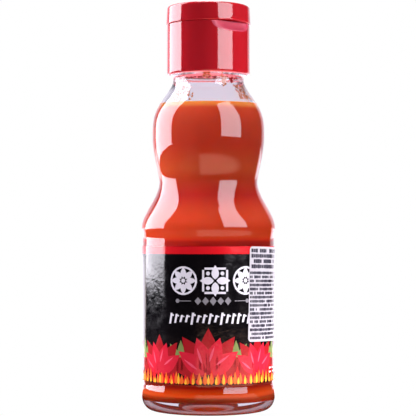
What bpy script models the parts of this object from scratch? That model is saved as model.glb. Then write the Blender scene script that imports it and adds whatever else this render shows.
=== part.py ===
"""Hot sauce bottle: a waisted clear glass bottle of sauce with a wrap-round label and a flip-top cap.

Frame: metres, +Z up. The origin is the middle of the base, on the surface that the bottle stands on.
The label's front faces -Y. Azimuths are measured from -Y and grow towards +X.
"""

import math

import bpy
from mathutils import Matrix, Vector

MM = 0.001
SEAT_GAP = 0.3 * MM
SKIN_GAP = 0.15 * MM
WELD_DISTANCE = 0.00001
SHARP_ANGLE = math.radians(35.0)

# Whole bottle
CAP_TOP = 159.7 * MM
CAP_BOTTOM = 132.6 * MM
GLASS_STEPS = 52
SAUCE_STEPS = 44
CAP_STEPS = 48

# Glass, outside
FOOT_RADIUS = 21.4 * MM
HEEL_HEIGHT = 7.2 * MM
HEEL_FULLNESS = 2.4
BULGE_RADIUS = 26.45 * MM
FOOT_BULGE_TOP = 8.2 * MM
PANEL_RADIUS = 25.95 * MM
PANEL_BOTTOM = 11.4 * MM
PANEL_TOP = 67.4 * MM
SHOULDER_HEIGHT = 72.0 * MM
WAIST_RADIUS = 19.45 * MM
WAIST_HEIGHT = 90.1 * MM
GLOBE_RADIUS = 22.2 * MM
GLOBE_HEIGHT = 108.2 * MM
NECK_RADIUS = 14.0 * MM
NECK_HEIGHT = 130.5 * MM
COLLAR_RADIUS = 15.9 * MM
COLLAR_EDGE = 0.4 * MM
COVE_RADIUS = 1.2 * MM
FINISH_RADIUS = 13.3 * MM
FINISH_TOP = 147.0 * MM

# Each S-shaped stretch of the wall: how far its bend leans up, and how many rows it takes
SHOULDER_SKEW = 0.94
WAIST_SKEW = 0.78
GLOBE_SKEW = 1.65
EDGE_ROWS = 2
SHOULDER_ROWS = 8
WAIST_ROWS = 6
GLOBE_ROWS = 10
HEEL_ROWS = 6
COVE_ROWS = 3

# Glass, inside
WALL = 2.4 * MM
NECK_BORE_RADIUS = 10.8 * MM
FLOOR_HEIGHT = 4.8 * MM
INNER_HEEL_RADIUS = 3.4 * MM
INNER_HEEL_ROWS = 4
PUNT_RADIUS = 19.4 * MM
PUNT_RISE = 4.4 * MM
PUNT_FLATNESS = 4.0
PUNT_STEPS = 4
PUSH_UP_RISE = 2.0 * MM
PUSH_UP_STEPS = 2

# Sauce
FILL_HEIGHT = 119.6 * MM

# Label, its back seam and the sticker over it
LABEL_BOTTOM = 12.0 * MM
LABEL_TOP = 64.7 * MM
LABEL_THICKNESS = 0.12 * MM
LABEL_STEPS = 72
LABEL_SEAM_DEG = 5.0
STICKER_AZIMUTH_DEG = 89.2
STICKER_WIDTH = 49.0 * MM
STICKER_BOTTOM = 27.5 * MM
STICKER_TOP = 64.0 * MM
STICKER_THICKNESS = 0.1 * MM
STICKER_CORNER = 1.4 * MM
STICKER_LEAN_DEG = 1.5
STICKER_STEPS = 22

# Cap
SKIRT_RADIUS = 16.45 * MM
SKIRT_DRAFT = 0.05 * MM
SKIRT_ROUND = 0.4 * MM
PARTING_HEIGHT = 152.3 * MM
LID_TOP_RADIUS = 16.4 * MM
LID_RIM_RADIUS = 16.75 * MM
LID_EDGE_ROUND = 0.9 * MM
LID_EDGE_ROWS = 5
LID_RIM_ROUND = 0.3 * MM
ROUND_ROWS = 3
THUMB_AZIMUTH_DEG = 39.0
SCOOP_RADIUS = 3.93 * MM
SCOOP_DISTANCE = 18.25 * MM
SCOOP_STEPS = 40
HINGE_WIDTH = 8.0 * MM
HINGE_PROUD = 0.35 * MM
HINGE_DEPTH = 0.8 * MM
HINGE_BELOW = 1.8 * MM
HINGE_ABOVE = 2.2 * MM
HINGE_FLARE = 0.25 * MM


def clear_scene():
    """Removes whatever the opened file holds."""
    for obj in list(bpy.data.objects):
        bpy.data.objects.remove(obj)


def finish(name, colour, roughness, transmission=0.0):
    """A plain material of one colour."""
    material = bpy.data.materials.new(name)
    material.use_nodes = True
    shader = material.node_tree.nodes["Principled BSDF"]
    shader.inputs["Base Color"].default_value = (*colour, 1.0)
    shader.inputs["Roughness"].default_value = roughness
    shader.inputs["Metallic"].default_value = 0.0
    shader.inputs["Transmission Weight"].default_value = transmission
    return material


def placed(name, mesh, material):
    """A new object of this mesh in the scene."""
    mesh.materials.append(material)
    mesh.shade_smooth()
    mesh.set_sharp_from_angle(angle=SHARP_ANGLE)
    obj = bpy.data.objects.new(name, mesh)
    bpy.context.scene.collection.objects.link(obj)
    return obj


def turned(name, outline, steps, material):
    """A solid turned about Z. The outline runs from the axis or a bore down the outer side and back."""
    mesh = bpy.data.meshes.new(name)
    edges = [(i, i + 1) for i in range(len(outline) - 1)]
    mesh.from_pydata([(radius, 0.0, height) for radius, height in outline], edges, [])
    obj = placed(name, mesh, material)
    screw = obj.modifiers.new("Turn", "SCREW")
    screw.axis = "Z"
    screw.steps = steps
    screw.render_steps = steps
    screw.use_merge_vertices = True
    screw.merge_threshold = WELD_DISTANCE
    screw.use_smooth_shade = True
    return obj


def rise(lower, upper, skew, steps):
    """An S-shaped wall from one (radius, height) to another, flat at both ends, leaning up by skew."""
    points = []
    for step in range(steps + 1):
        share = step / steps
        eased = share**skew
        swing = eased * eased * (3.0 - 2.0 * eased)
        radius = lower[0] + (upper[0] - lower[0]) * swing
        points.append((radius, lower[1] + (upper[1] - lower[1]) * share))
    return points


def arc(centre, radius, start_deg, end_deg, steps):
    """Points of a round corner about (radius, height), with 0 degrees outwards and 90 up."""
    points = []
    for step in range(steps + 1):
        angle = math.radians(start_deg + (end_deg - start_deg) * step / steps)
        points.append((centre[0] + radius * math.cos(angle), centre[1] + radius * math.sin(angle)))
    return points


def heel_curve():
    """The heel from the foot ring up to the widest point, a little fuller than a quarter ellipse."""
    points = []
    for step in range(HEEL_ROWS + 1):
        angle = math.pi / 2.0 * step / HEEL_ROWS
        out = math.sin(angle) ** (2.0 / HEEL_FULLNESS)
        down = math.cos(angle) ** (2.0 / HEEL_FULLNESS)
        points.append((FOOT_RADIUS + (BULGE_RADIUS - FOOT_RADIUS) * out, HEEL_HEIGHT * (1.0 - down)))
    return points


def body_wall(inset):
    """The wall from above the heel to the neck, bottom to top, drawn in by inset."""
    bulge = BULGE_RADIUS - inset
    panel = PANEL_RADIUS - inset
    globe = GLOBE_RADIUS - inset
    waist = WAIST_RADIUS - inset
    neck = max(NECK_RADIUS - inset, NECK_BORE_RADIUS)
    wall = rise((bulge, FOOT_BULGE_TOP), (panel, PANEL_BOTTOM), 1.0, EDGE_ROWS)
    wall += rise((panel, PANEL_TOP), (bulge, SHOULDER_HEIGHT), 1.0, EDGE_ROWS)
    wall += rise((bulge, SHOULDER_HEIGHT), (waist, WAIST_HEIGHT), SHOULDER_SKEW, SHOULDER_ROWS)[1:]
    wall += rise((waist, WAIST_HEIGHT), (globe, GLOBE_HEIGHT), WAIST_SKEW, WAIST_ROWS)[1:]
    wall += rise((globe, GLOBE_HEIGHT), (neck, NECK_HEIGHT), GLOBE_SKEW, GLOBE_ROWS)[1:]
    return wall


def glass_outline():
    """The shell from the mouth down the outside and under the floor, and the cavity from its floor up."""
    cove_middle = (NECK_RADIUS + COVE_RADIUS, CAP_BOTTOM - SEAT_GAP - COLLAR_EDGE - COVE_RADIUS)
    cove = arc(cove_middle, COVE_RADIUS, 180.0, 90.0, COVE_ROWS)
    outside = heel_curve() + body_wall(0.0) + cove
    outside += [
        (COLLAR_RADIUS, CAP_BOTTOM - SEAT_GAP - COLLAR_EDGE),
        (COLLAR_RADIUS, CAP_BOTTOM - SEAT_GAP),
        (FINISH_RADIUS, CAP_BOTTOM - SEAT_GAP),
        (FINISH_RADIUS, FINISH_TOP),
    ]
    punt = []
    for step in range(PUNT_STEPS + 1):
        out = 1.0 - step / PUNT_STEPS
        punt.append((PUNT_RADIUS * out, PUNT_RISE * (1.0 - out**PUNT_FLATNESS)))
    cavity = push_up(WALL, 0.0) + cavity_wall(WALL, 0.0) + [(NECK_BORE_RADIUS, FINISH_TOP)]
    return list(reversed(outside)) + punt, cavity


def push_up(inset, lift):
    """The shallow dome of the cavity's floor, from the axis out to where the round corner starts."""
    edge = BULGE_RADIUS - inset - INNER_HEEL_RADIUS
    dome = []
    for step in range(PUSH_UP_STEPS):
        out = step / PUSH_UP_STEPS
        dome.append((edge * out, FLOOR_HEIGHT + lift + PUSH_UP_RISE * (1.0 - out * out)))
    return dome


def cavity_wall(inset, lift):
    """The inner wall from the floor's edge to the neck, with a round corner at the floor."""
    edge = BULGE_RADIUS - inset
    middle = (edge - INNER_HEEL_RADIUS, FLOOR_HEIGHT + lift + INNER_HEEL_RADIUS)
    corner = arc(middle, INNER_HEEL_RADIUS, -90.0, 0.0, INNER_HEEL_ROWS)
    return corner + [point for point in body_wall(inset) if point[1] > middle[1]]


def glass_bottle():
    """The clear bottle, with a thick floor, a punt under it, and a collar below the screw finish."""
    clear = finish("clear_glass", (0.93, 0.95, 0.96), 0.03, transmission=1.0)
    shell, cavity = glass_outline()
    return turned("glass_bottle", shell + cavity + [shell[0]], GLASS_STEPS, clear)


def sauce():
    """The sauce, a solid up to the fill line, just clear of the glass."""
    red = finish("chilli_sauce", (0.62, 0.09, 0.03), 0.35)
    wall = cavity_wall(WALL + SEAT_GAP, SEAT_GAP)
    below = [point for point in wall if point[1] < FILL_HEIGHT - SEAT_GAP]
    above = next(point for point in wall if point[1] >= FILL_HEIGHT - SEAT_GAP)
    share = (FILL_HEIGHT - below[-1][1]) / (above[1] - below[-1][1])
    shore = (below[-1][0] + (above[0] - below[-1][0]) * share, FILL_HEIGHT)
    floor = list(reversed(push_up(WALL + SEAT_GAP, SEAT_GAP)))
    outline = [(0.0, FILL_HEIGHT), shore] + list(reversed(below)) + floor
    return turned("sauce", outline, SAUCE_STEPS, red)


def bent_sheet(name, inner_radius, thickness, corners, material):
    """A closed sheet wrapped round the bottle. corners holds one (azimuth, bottom, top) for each column."""
    verts = []
    for azimuth, bottom, top in corners:
        for radius in (inner_radius, inner_radius + thickness):
            x, y = radius * math.sin(azimuth), -radius * math.cos(azimuth)
            verts += [(x, y, bottom), (x, y, top)]
    last = 4 * (len(corners) - 1)
    faces = [(0, 2, 3, 1), (last, last + 1, last + 3, last + 2)]
    for start in range(0, last, 4):
        inner_low, inner_high, outer_low, outer_high = range(start, start + 4)
        faces += [
            (inner_low, inner_high, inner_high + 4, inner_low + 4),
            (outer_low, outer_low + 4, outer_high + 4, outer_high),
            (inner_low, inner_low + 4, outer_low + 4, outer_low),
            (inner_high, outer_high, outer_high + 4, inner_high + 4),
        ]
    mesh = bpy.data.meshes.new(name)
    mesh.from_pydata(verts, [], faces)
    return placed(name, mesh, material)


def label():
    """The printed label, wrapped round the recessed panel from one side of its back seam to the other."""
    black = finish("label_print", (0.02, 0.018, 0.02), 0.3)
    half = math.pi - math.radians(LABEL_SEAM_DEG) / 2.0
    corners = []
    for step in range(LABEL_STEPS + 1):
        azimuth = -half + 2.0 * half * step / LABEL_STEPS
        corners.append((azimuth, LABEL_BOTTOM, LABEL_TOP))
    return bent_sheet("label", PANEL_RADIUS + SKIN_GAP, LABEL_THICKNESS, corners, black)


def sticker():
    """The white paper sticker on the label's right side, leaning a little, with round corners."""
    paper = finish("sticker_paper", (0.86, 0.85, 0.88), 0.45)
    radius = PANEL_RADIUS + 2.0 * SKIN_GAP + LABEL_THICKNESS
    half_width = STICKER_WIDTH / 2.0
    lean = math.tan(math.radians(STICKER_LEAN_DEG))
    corners = []
    for step in range(STICKER_STEPS + 1):
        # Columns crowd towards both ends, where the corners are round
        along = -half_width * math.cos(math.pi * step / STICKER_STEPS)
        into_corner = max(0.0, abs(along) - (half_width - STICKER_CORNER))
        cut = STICKER_CORNER - math.sqrt(max(0.0, STICKER_CORNER**2 - into_corner**2))
        drop = lean * along
        azimuth = math.radians(STICKER_AZIMUTH_DEG) + along / radius
        corners.append((azimuth, STICKER_BOTTOM + cut - drop, STICKER_TOP - cut - drop))
    return bent_sheet("sticker", radius, STICKER_THICKNESS, corners, paper)


def helper(name, mesh):
    """A cutter or a piece to be joined, which isn't part of the object by itself."""
    obj = bpy.data.objects.new(name, mesh)
    bpy.context.scene.collection.objects.link(obj)
    obj.hide_render = True
    obj.display_type = "WIRE"
    return obj


def at_azimuth(azimuth_deg, distance, height):
    """A frame on the cap's side: X along the wall, Y outwards, Z up."""
    turn = Matrix.Rotation(math.radians(azimuth_deg) + math.pi, 4, "Z")
    outwards = Vector((math.sin(math.radians(azimuth_deg)), -math.cos(math.radians(azimuth_deg)), 0.0))
    return Matrix.Translation(outwards * distance + Vector((0.0, 0.0, height))) @ turn


def prism(name, outline, length, frame):
    """A closed bar of this (outwards, up) outline, of this length along the wall, in a frame."""
    verts = [(-length / 2.0, out, up) for out, up in outline]
    verts += [(length / 2.0, out, up) for out, up in outline]
    count = len(outline)
    faces = [tuple(reversed(range(count))), tuple(range(count, 2 * count))]
    for i in range(count):
        after = (i + 1) % count
        faces.append((i, after, after + count, i + count))
    mesh = bpy.data.meshes.new(name)
    mesh.from_pydata(verts, [], faces)
    mesh.transform(frame)
    return helper(name, mesh)


def thumb_scoop():
    """The round bar that hollows the cap's side under the lid, for the thumb."""
    outline = arc((0.0, 0.0), SCOOP_RADIUS, 0.0, 360.0, SCOOP_STEPS)[:-1]
    frame = at_azimuth(THUMB_AZIMUTH_DEG, SCOOP_DISTANCE, PARTING_HEIGHT)
    return prism("thumb_scoop", outline, 2.0 * SKIRT_RADIUS, frame)


def hinge_web(name, margin):
    """The strap that joins lid and cap opposite the thumb scoop, grown by a margin."""
    inner = SKIRT_RADIUS - HINGE_DEPTH - margin
    outer = SKIRT_RADIUS + HINGE_PROUD + margin
    below = PARTING_HEIGHT - HINGE_BELOW - margin
    above = PARTING_HEIGHT + HINGE_ABOVE + margin
    outline = [
        (outer - HINGE_FLARE, below),
        (outer, below + HINGE_FLARE),
        (outer, above - HINGE_FLARE),
        (outer - HINGE_FLARE, above),
        (inner, above - HINGE_FLARE),
        (inner, below + HINGE_FLARE),
    ]
    frame = at_azimuth(THUMB_AZIMUTH_DEG + 180.0, 0.0, 0.0)
    return prism(name, outline, HINGE_WIDTH + 2.0 * margin, frame)


def combine(obj, other, operation):
    """Adds a Boolean to an object, with another as its tool."""
    boolean = obj.modifiers.new(other.name, "BOOLEAN")
    boolean.operation = operation
    boolean.solver = "EXACT"
    boolean.object = other


def cap_base():
    """The screw cap's skirt and deck, with the thumb scoop cut in its rim and the hinge strap on it."""
    red = finish("cap_red", (0.62, 0.015, 0.03), 0.25)
    bore = FINISH_RADIUS + SEAT_GAP
    deck = PARTING_HEIGHT - SEAT_GAP / 2.0
    foot = arc((SKIRT_RADIUS - SKIRT_ROUND, CAP_BOTTOM + SKIRT_ROUND), SKIRT_ROUND, 0.0, -90.0, ROUND_ROWS)
    outline = [
        (0.0, deck),
        (SKIRT_RADIUS - SKIRT_DRAFT - SKIRT_ROUND / 2.0, deck),
        (SKIRT_RADIUS - SKIRT_DRAFT, deck - SKIRT_ROUND / 2.0),
        *foot,
        (bore, CAP_BOTTOM),
        (bore, FINISH_TOP + SEAT_GAP),
        (0.0, FINISH_TOP + SEAT_GAP),
    ]
    base = turned("cap_base", outline, CAP_STEPS, red)
    combine(base, thumb_scoop(), "DIFFERENCE")
    combine(base, hinge_web("hinge_strap", 0.0), "UNION")
    return base


def cap_lid():
    """The flip lid, shut on the cap, with a flared rim and a notch for the hinge strap."""
    red = finish("lid_red", (0.62, 0.015, 0.03), 0.25)
    seat = PARTING_HEIGHT + SEAT_GAP / 2.0
    edge_middle = (LID_TOP_RADIUS - LID_EDGE_ROUND, CAP_TOP - LID_EDGE_ROUND)
    top_edge = arc(edge_middle, LID_EDGE_ROUND, 90.0, 0.0, LID_EDGE_ROWS)
    rim_middle = (LID_RIM_RADIUS - LID_RIM_ROUND, seat + LID_RIM_ROUND)
    rim = arc(rim_middle, LID_RIM_ROUND, 0.0, -90.0, ROUND_ROWS)
    lid = turned("cap_lid", [(0.0, CAP_TOP), *top_edge, *rim, (0.0, seat)], CAP_STEPS, red)
    combine(lid, hinge_web("hinge_notch", SEAT_GAP), "DIFFERENCE")
    return lid


def main():
    clear_scene()
    glass_bottle()
    sauce()
    label()
    sticker()
    cap_base()
    cap_lid()


main()
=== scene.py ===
"""Looks of a small bottle of hot sauce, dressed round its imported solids.

Sizes are in millimetres until a mesh is made, where they become metres. Z is up, the front of the label
faces -Y, and azimuths are measured from -Y and grow towards +X.
"""

import logging
import math
from dataclasses import dataclass, field
from enum import Enum
from typing import Callable, Optional, Sequence, Union

import bmesh
import bpy
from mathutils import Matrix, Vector


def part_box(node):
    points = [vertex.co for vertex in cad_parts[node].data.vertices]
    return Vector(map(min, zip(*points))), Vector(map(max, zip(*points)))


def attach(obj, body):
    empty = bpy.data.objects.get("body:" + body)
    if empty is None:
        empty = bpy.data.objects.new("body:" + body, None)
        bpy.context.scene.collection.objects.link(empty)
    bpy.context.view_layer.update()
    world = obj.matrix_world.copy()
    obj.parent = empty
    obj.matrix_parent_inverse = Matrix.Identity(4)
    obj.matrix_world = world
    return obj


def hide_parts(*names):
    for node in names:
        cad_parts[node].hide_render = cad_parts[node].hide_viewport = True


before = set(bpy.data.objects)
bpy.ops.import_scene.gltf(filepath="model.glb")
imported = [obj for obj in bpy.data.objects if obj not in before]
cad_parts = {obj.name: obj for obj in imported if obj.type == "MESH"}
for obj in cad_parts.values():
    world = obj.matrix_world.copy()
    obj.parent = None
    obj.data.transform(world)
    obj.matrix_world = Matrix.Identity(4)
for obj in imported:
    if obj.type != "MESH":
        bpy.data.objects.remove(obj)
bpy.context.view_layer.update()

LOG = logging.getLogger("hot_sauce_bottle")
MM = 0.001
WELD = 0.0005 * MM
TURN = 2.0 * math.pi

Point = tuple[float, float]
Outline = list[Point]
Colour = tuple[float, float, float]
Socket = bpy.types.NodeSocket
SocketValue = Union[Socket, float, int, bool, Sequence[float]]


class Slot(Enum):
    """The record's material slots."""

    GLASS = "glass"
    SAUCE = "sauce"
    LABEL = "label_print"
    STICKER = "sticker_paper"
    CAP = "cap_plastic"


def tone(red: int, green: int, blue: int) -> Colour:
    """Turns a colour as a screen shows it into a linear one.

    Args:
        red, green, blue: Levels from 0 to 255.

    Returns:
        The same colour as linear shares of light.
    """
    shares = []
    for level in (red, green, blue):
        share = level / 255.0
        shares.append(share / 12.92 if share <= 0.04045 else ((share + 0.055) / 1.055) ** 2.4)
    return tuple(shares)


def radius_of(node: str) -> float:
    """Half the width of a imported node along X, in millimetres."""
    low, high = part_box(node)
    return (high.x - low.x) / 2.0 / MM


def heights_of(node: str) -> Point:
    """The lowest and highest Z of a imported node, in millimetres."""
    low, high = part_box(node)
    return low.z / MM, high.z / MM


def rise(lower: Point, upper: Point, skew: float, rows: int) -> Outline:
    """An S-shaped stretch of wall, upright at both ends.

    Args:
        lower, upper: The ends, as radius and height.
        skew: How far the bend leans towards the upper end; 1 is even.
        rows: How many steps the stretch takes.

    Returns:
        The points from lower to upper.
    """
    points = []
    for row in range(rows + 1):
        share = row / rows
        eased = share**skew
        swing = eased * eased * (3.0 - 2.0 * eased)
        points.append((lower[0] + (upper[0] - lower[0]) * swing, lower[1] + (upper[1] - lower[1]) * share))
    return points


def arc(centre: Point, radius: float, start: float, end: float, rows: int) -> Outline:
    """A round corner.

    Args:
        centre: Its middle, as radius and height.
        radius: Its own radius.
        start, end: Angles in degrees, with 0 outwards and 90 up.
        rows: How many steps it takes.

    Returns:
        The points from start to end.
    """
    points = []
    for row in range(rows + 1):
        angle = math.radians(start + (end - start) * row / rows)
        points.append((centre[0] + radius * math.cos(angle), centre[1] + radius * math.sin(angle)))
    return points


def straight(start: Point, end: Point, rows: int) -> Outline:
    """Points along a straight stretch, both ends included."""
    shares = [row / rows for row in range(rows + 1)]
    return [(start[0] + (end[0] - start[0]) * s, start[1] + (end[1] - start[1]) * s) for s in shares]


def smallest_smooth(first: float, second: float, blend: float) -> float:
    """The smaller of two lengths, with the change from one to the other rounded off.

    Args:
        first, second: The two lengths.
        blend: The width of the rounding.

    Returns:
        A length at most a quarter of blend under the smaller one.
    """
    share = min(1.0, max(0.0, 0.5 + 0.5 * (second - first) / blend))
    return second + (first - second) * share - blend * share * (1.0 - share)


def bump_share(offset: float, half_width: float) -> float:
    """A smooth hump: 1 at no offset, 0 from half_width on."""
    share = min(1.0, abs(offset) / half_width)
    return (1.0 - share * share) ** 2


class NodeDesk:
    """Lays out and joins the nodes of one tree."""

    def __init__(self, tree: bpy.types.NodeTree) -> None:
        """Starts on a tree.

        Args:
            tree: The tree to work on.
        """
        self.tree = tree

    def feed(self, socket: Socket, value: SocketValue) -> None:
        """Joins a socket to another, or sets its value."""
        if isinstance(value, Socket):
            self.tree.links.new(value, socket)
        else:
            socket.default_value = value

    def add(self, kind: str, inputs: Optional[dict] = None, **settings: object) -> bpy.types.Node:
        """Adds a node.

        Args:
            kind: The node's type name.
            inputs: Values or sockets, by input name or number.
            settings: The node's own properties.

        Returns:
            The new node.
        """
        node = self.tree.nodes.new(kind)
        for name, value in settings.items():
            setattr(node, name, value)
        for key, value in (inputs or {}).items():
            self.feed(node.inputs[key], value)
        return node

    def work(self, operation: str, *values: SocketValue) -> Socket:
        """Adds a Math node and returns its result."""
        return self.add("ShaderNodeMath", dict(enumerate(values)), operation=operation).outputs[0]

    def blend(self, share: SocketValue, first: SocketValue, second: SocketValue) -> Socket:
        """Mixes two colours.

        Args:
            share: 0 gives the first and 1 the second.
            first, second: Colours with alpha, or sockets.

        Returns:
            The mixed colour.
        """
        node = self.add("ShaderNodeMix", {"Factor": share}, data_type="RGBA")
        self.feed(node.inputs[6], first)
        self.feed(node.inputs[7], second)
        return node.outputs[2]


class ShaderDesk(NodeDesk):
    """Lays out a material round one Principled shader."""

    def __init__(self, name: str) -> None:
        """Makes an empty material.

        Args:
            name: The material's name.
        """
        self.material = bpy.data.materials.new(name)
        self.material.use_nodes = True
        super().__init__(self.material.node_tree)
        self.tree.nodes.clear()
        self.output = self.add("ShaderNodeOutputMaterial")
        self.shader = self.add("ShaderNodeBsdfPrincipled")
        self.feed(self.output.inputs["Surface"], self.shader.outputs["BSDF"])
        self.place = self.add("ShaderNodeTexCoord").outputs["Object"]

    def set(self, **inputs: SocketValue) -> None:
        """Sets the Principled shader's inputs, with _ for a space in their names."""
        for name, value in inputs.items():
            self.feed(self.shader.inputs[name.replace("_", " ")], value)

    def grain(self, size: float, detail: float = 3.0, squash: Sequence[float] = (1.0, 1.0, 1.0)) -> Socket:
        """Noise fixed to the piece.

        Args:
            size: The width of one blotch, in millimetres.
            detail: How many finer layers it has.
            squash: How much finer it is along X, Y and Z.

        Returns:
            The noise, from 0 to 1.
        """
        mapped = self.add("ShaderNodeMapping", {"Vector": self.place, "Scale": squash}, vector_type="POINT")
        inputs = {"Vector": mapped.outputs["Vector"], "Scale": 1.0 / (size * MM), "Detail": detail}
        return self.add("ShaderNodeTexNoise", inputs).outputs["Fac"]

    def remap(self, value: Socket, low: float, high: float, to_low: float, to_high: float) -> Socket:
        """Stretches a value's range from low and high to to_low and to_high, without passing them."""
        inputs = {"Value": value, 1: low, 2: high, 3: to_low, 4: to_high}
        return self.add("ShaderNodeMapRange", inputs).outputs["Result"]

    def relief(self, height: Socket, depth: float) -> None:
        """Bumps the surface by a height from 0 to 1.

        Args:
            height: The pattern.
            depth: Its depth in millimetres.
        """
        bump = self.add("ShaderNodeBump", {"Strength": 1.0, "Distance": depth * MM, "Height": height})
        self.set(Normal=bump.outputs["Normal"])


def paint(colour: Colour) -> tuple[float, float, float, float]:
    """A colour with full alpha."""
    return (*colour, 1.0)


@dataclass(frozen=True)
class ClearGlass:
    """Colourless container glass, a little wavy from its mould."""

    name: str = "clear_glass"
    tint: Colour = (0.965, 0.972, 0.98)
    ripple_size: float = 14.0
    ripple_depth: float = 0.02

    def material(self) -> bpy.types.Material:
        """Makes the material, which lets lamps through to what is inside."""
        desk = ShaderDesk(self.name)
        desk.set(Base_Color=paint(self.tint), Roughness=0.0, IOR=1.5, Transmission_Weight=1.0)
        desk.relief(desk.grain(self.ripple_size, 1.0), self.ripple_depth)
        through = desk.add("ShaderNodeBsdfTransparent", {"Color": paint((0.93, 0.94, 0.95))})
        lamp_ray = desk.add("ShaderNodeLightPath").outputs["Is Shadow Ray"]
        inputs = {0: lamp_ray, 1: desk.shader.outputs["BSDF"], 2: through.outputs["BSDF"]}
        desk.feed(desk.output.inputs["Surface"], desk.add("ShaderNodeMixShader", inputs).outputs[0])
        return desk.material


@dataclass(frozen=True)
class MouldedPlastic:
    """Glossy red plastic with faint flow marks and handling scuffs."""

    name: str
    colour: Colour = (0.56, 0.014, 0.024)
    shade: Colour = (0.48, 0.011, 0.019)
    roughness: Point = (0.04, 0.09)
    relief_depth: float = 0.006
    glow: float = 0.35
    glow_reach: tuple[float, float, float] = (1.0, 0.18, 0.16)
    glow_scale: float = 2.2
    # Painted light: an emission glow of this strength and colour, used on the cap's bore and underside.
    shine: float = 0.0
    painted_glow_colour: Colour = (0.95, 0.30, 0.36)

    def material(self) -> bpy.types.Material:
        """Makes the material."""
        desk = ShaderDesk(self.name)
        flow = desk.grain(9.0, 2.0, (1.0, 1.0, 0.35))
        desk.set(Base_Color=desk.blend(flow, paint(self.colour), paint(self.shade)), IOR=1.55)
        desk.set(Subsurface_Weight=self.glow, Subsurface_Radius=self.glow_reach)
        desk.set(Subsurface_Scale=self.glow_scale * MM)
        desk.set(Emission_Color=paint(self.painted_glow_colour), Emission_Strength=self.shine)
        scuffs = desk.grain(1.1, 5.0, (1.0, 1.0, 2.5))
        desk.set(Roughness=desk.remap(scuffs, 0.45, 0.75, *self.roughness))
        desk.relief(desk.grain(3.0, 2.0), self.relief_depth)
        return desk.material


@dataclass(frozen=True)
class SauceBody:
    """Smooth chilli sauce: orange-red, cloudy, with fine darker flecks, and painted light and shade in bands
    up its height.
    """

    name: str
    # Sauce colour by height, with painted shade just below and above the label and near 84 mm, and painted
    # light low down, near 68 mm and at the fill line.
    colour_and_painted_light: tuple[tuple[float, Colour], ...] = (
        (5.0, (1.0, 0.120, 0.020)), (8.6, (1.0, 0.130, 0.024)), (10.2, (0.92, 0.060, 0.030)),
        (66.6, (0.86, 0.055, 0.045)), (68.4, (1.0, 0.140, 0.055)), (78.0, (0.95, 0.115, 0.050)),
        (84.0, (0.81, 0.058, 0.045)), (95.0, (0.92, 0.165, 0.055)), (104.0, (0.84, 0.098, 0.050)),
        (118.0, (0.86, 0.120, 0.055)), (119.4, (0.94, 0.400, 0.120)),
    )
    # Painted light: an emission glow by height, low down, just above the label and at the fill line.
    lit: tuple[tuple[float, Colour], ...] = (
        (5.0, (0.0, 0.0, 0.0)), (6.6, (0.0, 0.0, 0.0)), (7.2, (0.42, 0.032, 0.0)), (8.4, (0.32, 0.022, 0.0)),
        (10.5, (0.06, 0.0, 0.0)), (13.0, (0.0, 0.0, 0.0)),
        (66.2, (0.0, 0.0, 0.0)), (67.2, (0.20, 0.008, 0.0)), (69.5, (0.16, 0.006, 0.0)),
        (78.0, (0.0, 0.0, 0.0)), (117.6, (0.0, 0.0, 0.0)), (119.4, (0.14, 0.035, 0.0)),
    )
    fleck: Colour = (0.40, 0.030, 0.012)
    roughness: float = 0.5
    specular: float = 0.0
    glow: float = 1.0
    glow_reach: tuple[float, float, float] = (1.0, 0.22, 0.08)
    glow_scale: float = 2.5

    def banded(self, desk: ShaderDesk, colour_and_painted_light: tuple[tuple[float, Colour], ...]) -> Socket:
        """A colour that follows the height, given as heights and the colours there."""
        low, high = colour_and_painted_light[0][0], colour_and_painted_light[-1][0]
        height = desk.add("ShaderNodeSeparateXYZ", {0: desk.place}).outputs[2]
        ramp = desk.add("ShaderNodeValToRGB", {"Fac": desk.remap(height, low * MM, high * MM, 0.0, 1.0)})
        stops = ramp.color_ramp.elements
        for _ in range(len(colour_and_painted_light) - 2):
            stops.new(0.5)
        for stop, (place, colour) in zip(stops, colour_and_painted_light):
            stop.position = (place - low) / (high - low)
            stop.color = paint(colour)
        return ramp.outputs["Color"]

    def material(self) -> bpy.types.Material:
        """Makes the material, in which red light travels furthest, with a painted glow low down, above the
        label and at the fill line.
        """
        desk = ShaderDesk(self.name)
        # Painted light: the sauce glows by height as emission.
        desk.set(Emission_Color=self.banded(desk, self.lit), Emission_Strength=1.0)
        desk.set(Subsurface_Weight=self.glow, Subsurface_Radius=self.glow_reach)
        desk.set(Subsurface_Scale=self.glow_scale * MM)
        clouds = desk.remap(desk.grain(11.0, 3.0, (1.0, 1.0, 0.6)), 0.35, 0.7, 0.0, 0.12)
        body = desk.blend(clouds, self.banded(desk, self.colour_and_painted_light), paint(self.fleck))
        scale = {"Vector": desk.place, "Scale": 1.0 / (1.6 * MM)}
        spots = desk.add("ShaderNodeTexVoronoi", scale).outputs["Distance"]
        flecks = desk.remap(spots, 0.05, 0.13, 0.35, 0.0)
        desk.set(Base_Color=desk.blend(flecks, body, paint(self.fleck)), Roughness=self.roughness)
        desk.set(Specular_IOR_Level=self.specular)
        return desk.material


@dataclass(frozen=True)
class SauceStainAndShade:
    """A thin smear of sauce that dried on the glass; in near-black, also the painted shade under the fill."""

    name: str = "sauce_stain"
    colour: Colour = (0.95, 0.46, 0.22)
    shade: Colour = (0.74, 0.22, 0.08)

    def material(self) -> bpy.types.Material:
        """Makes the material."""
        desk = ShaderDesk(self.name)
        blotch = desk.remap(desk.grain(0.8, 2.0), 0.35, 0.65, 0.0, 1.0)
        desk.set(Base_Color=desk.blend(blotch, paint(self.colour), paint(self.shade)))
        desk.set(Roughness=0.4, Specular_IOR_Level=0.1)
        return desk.material


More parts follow.
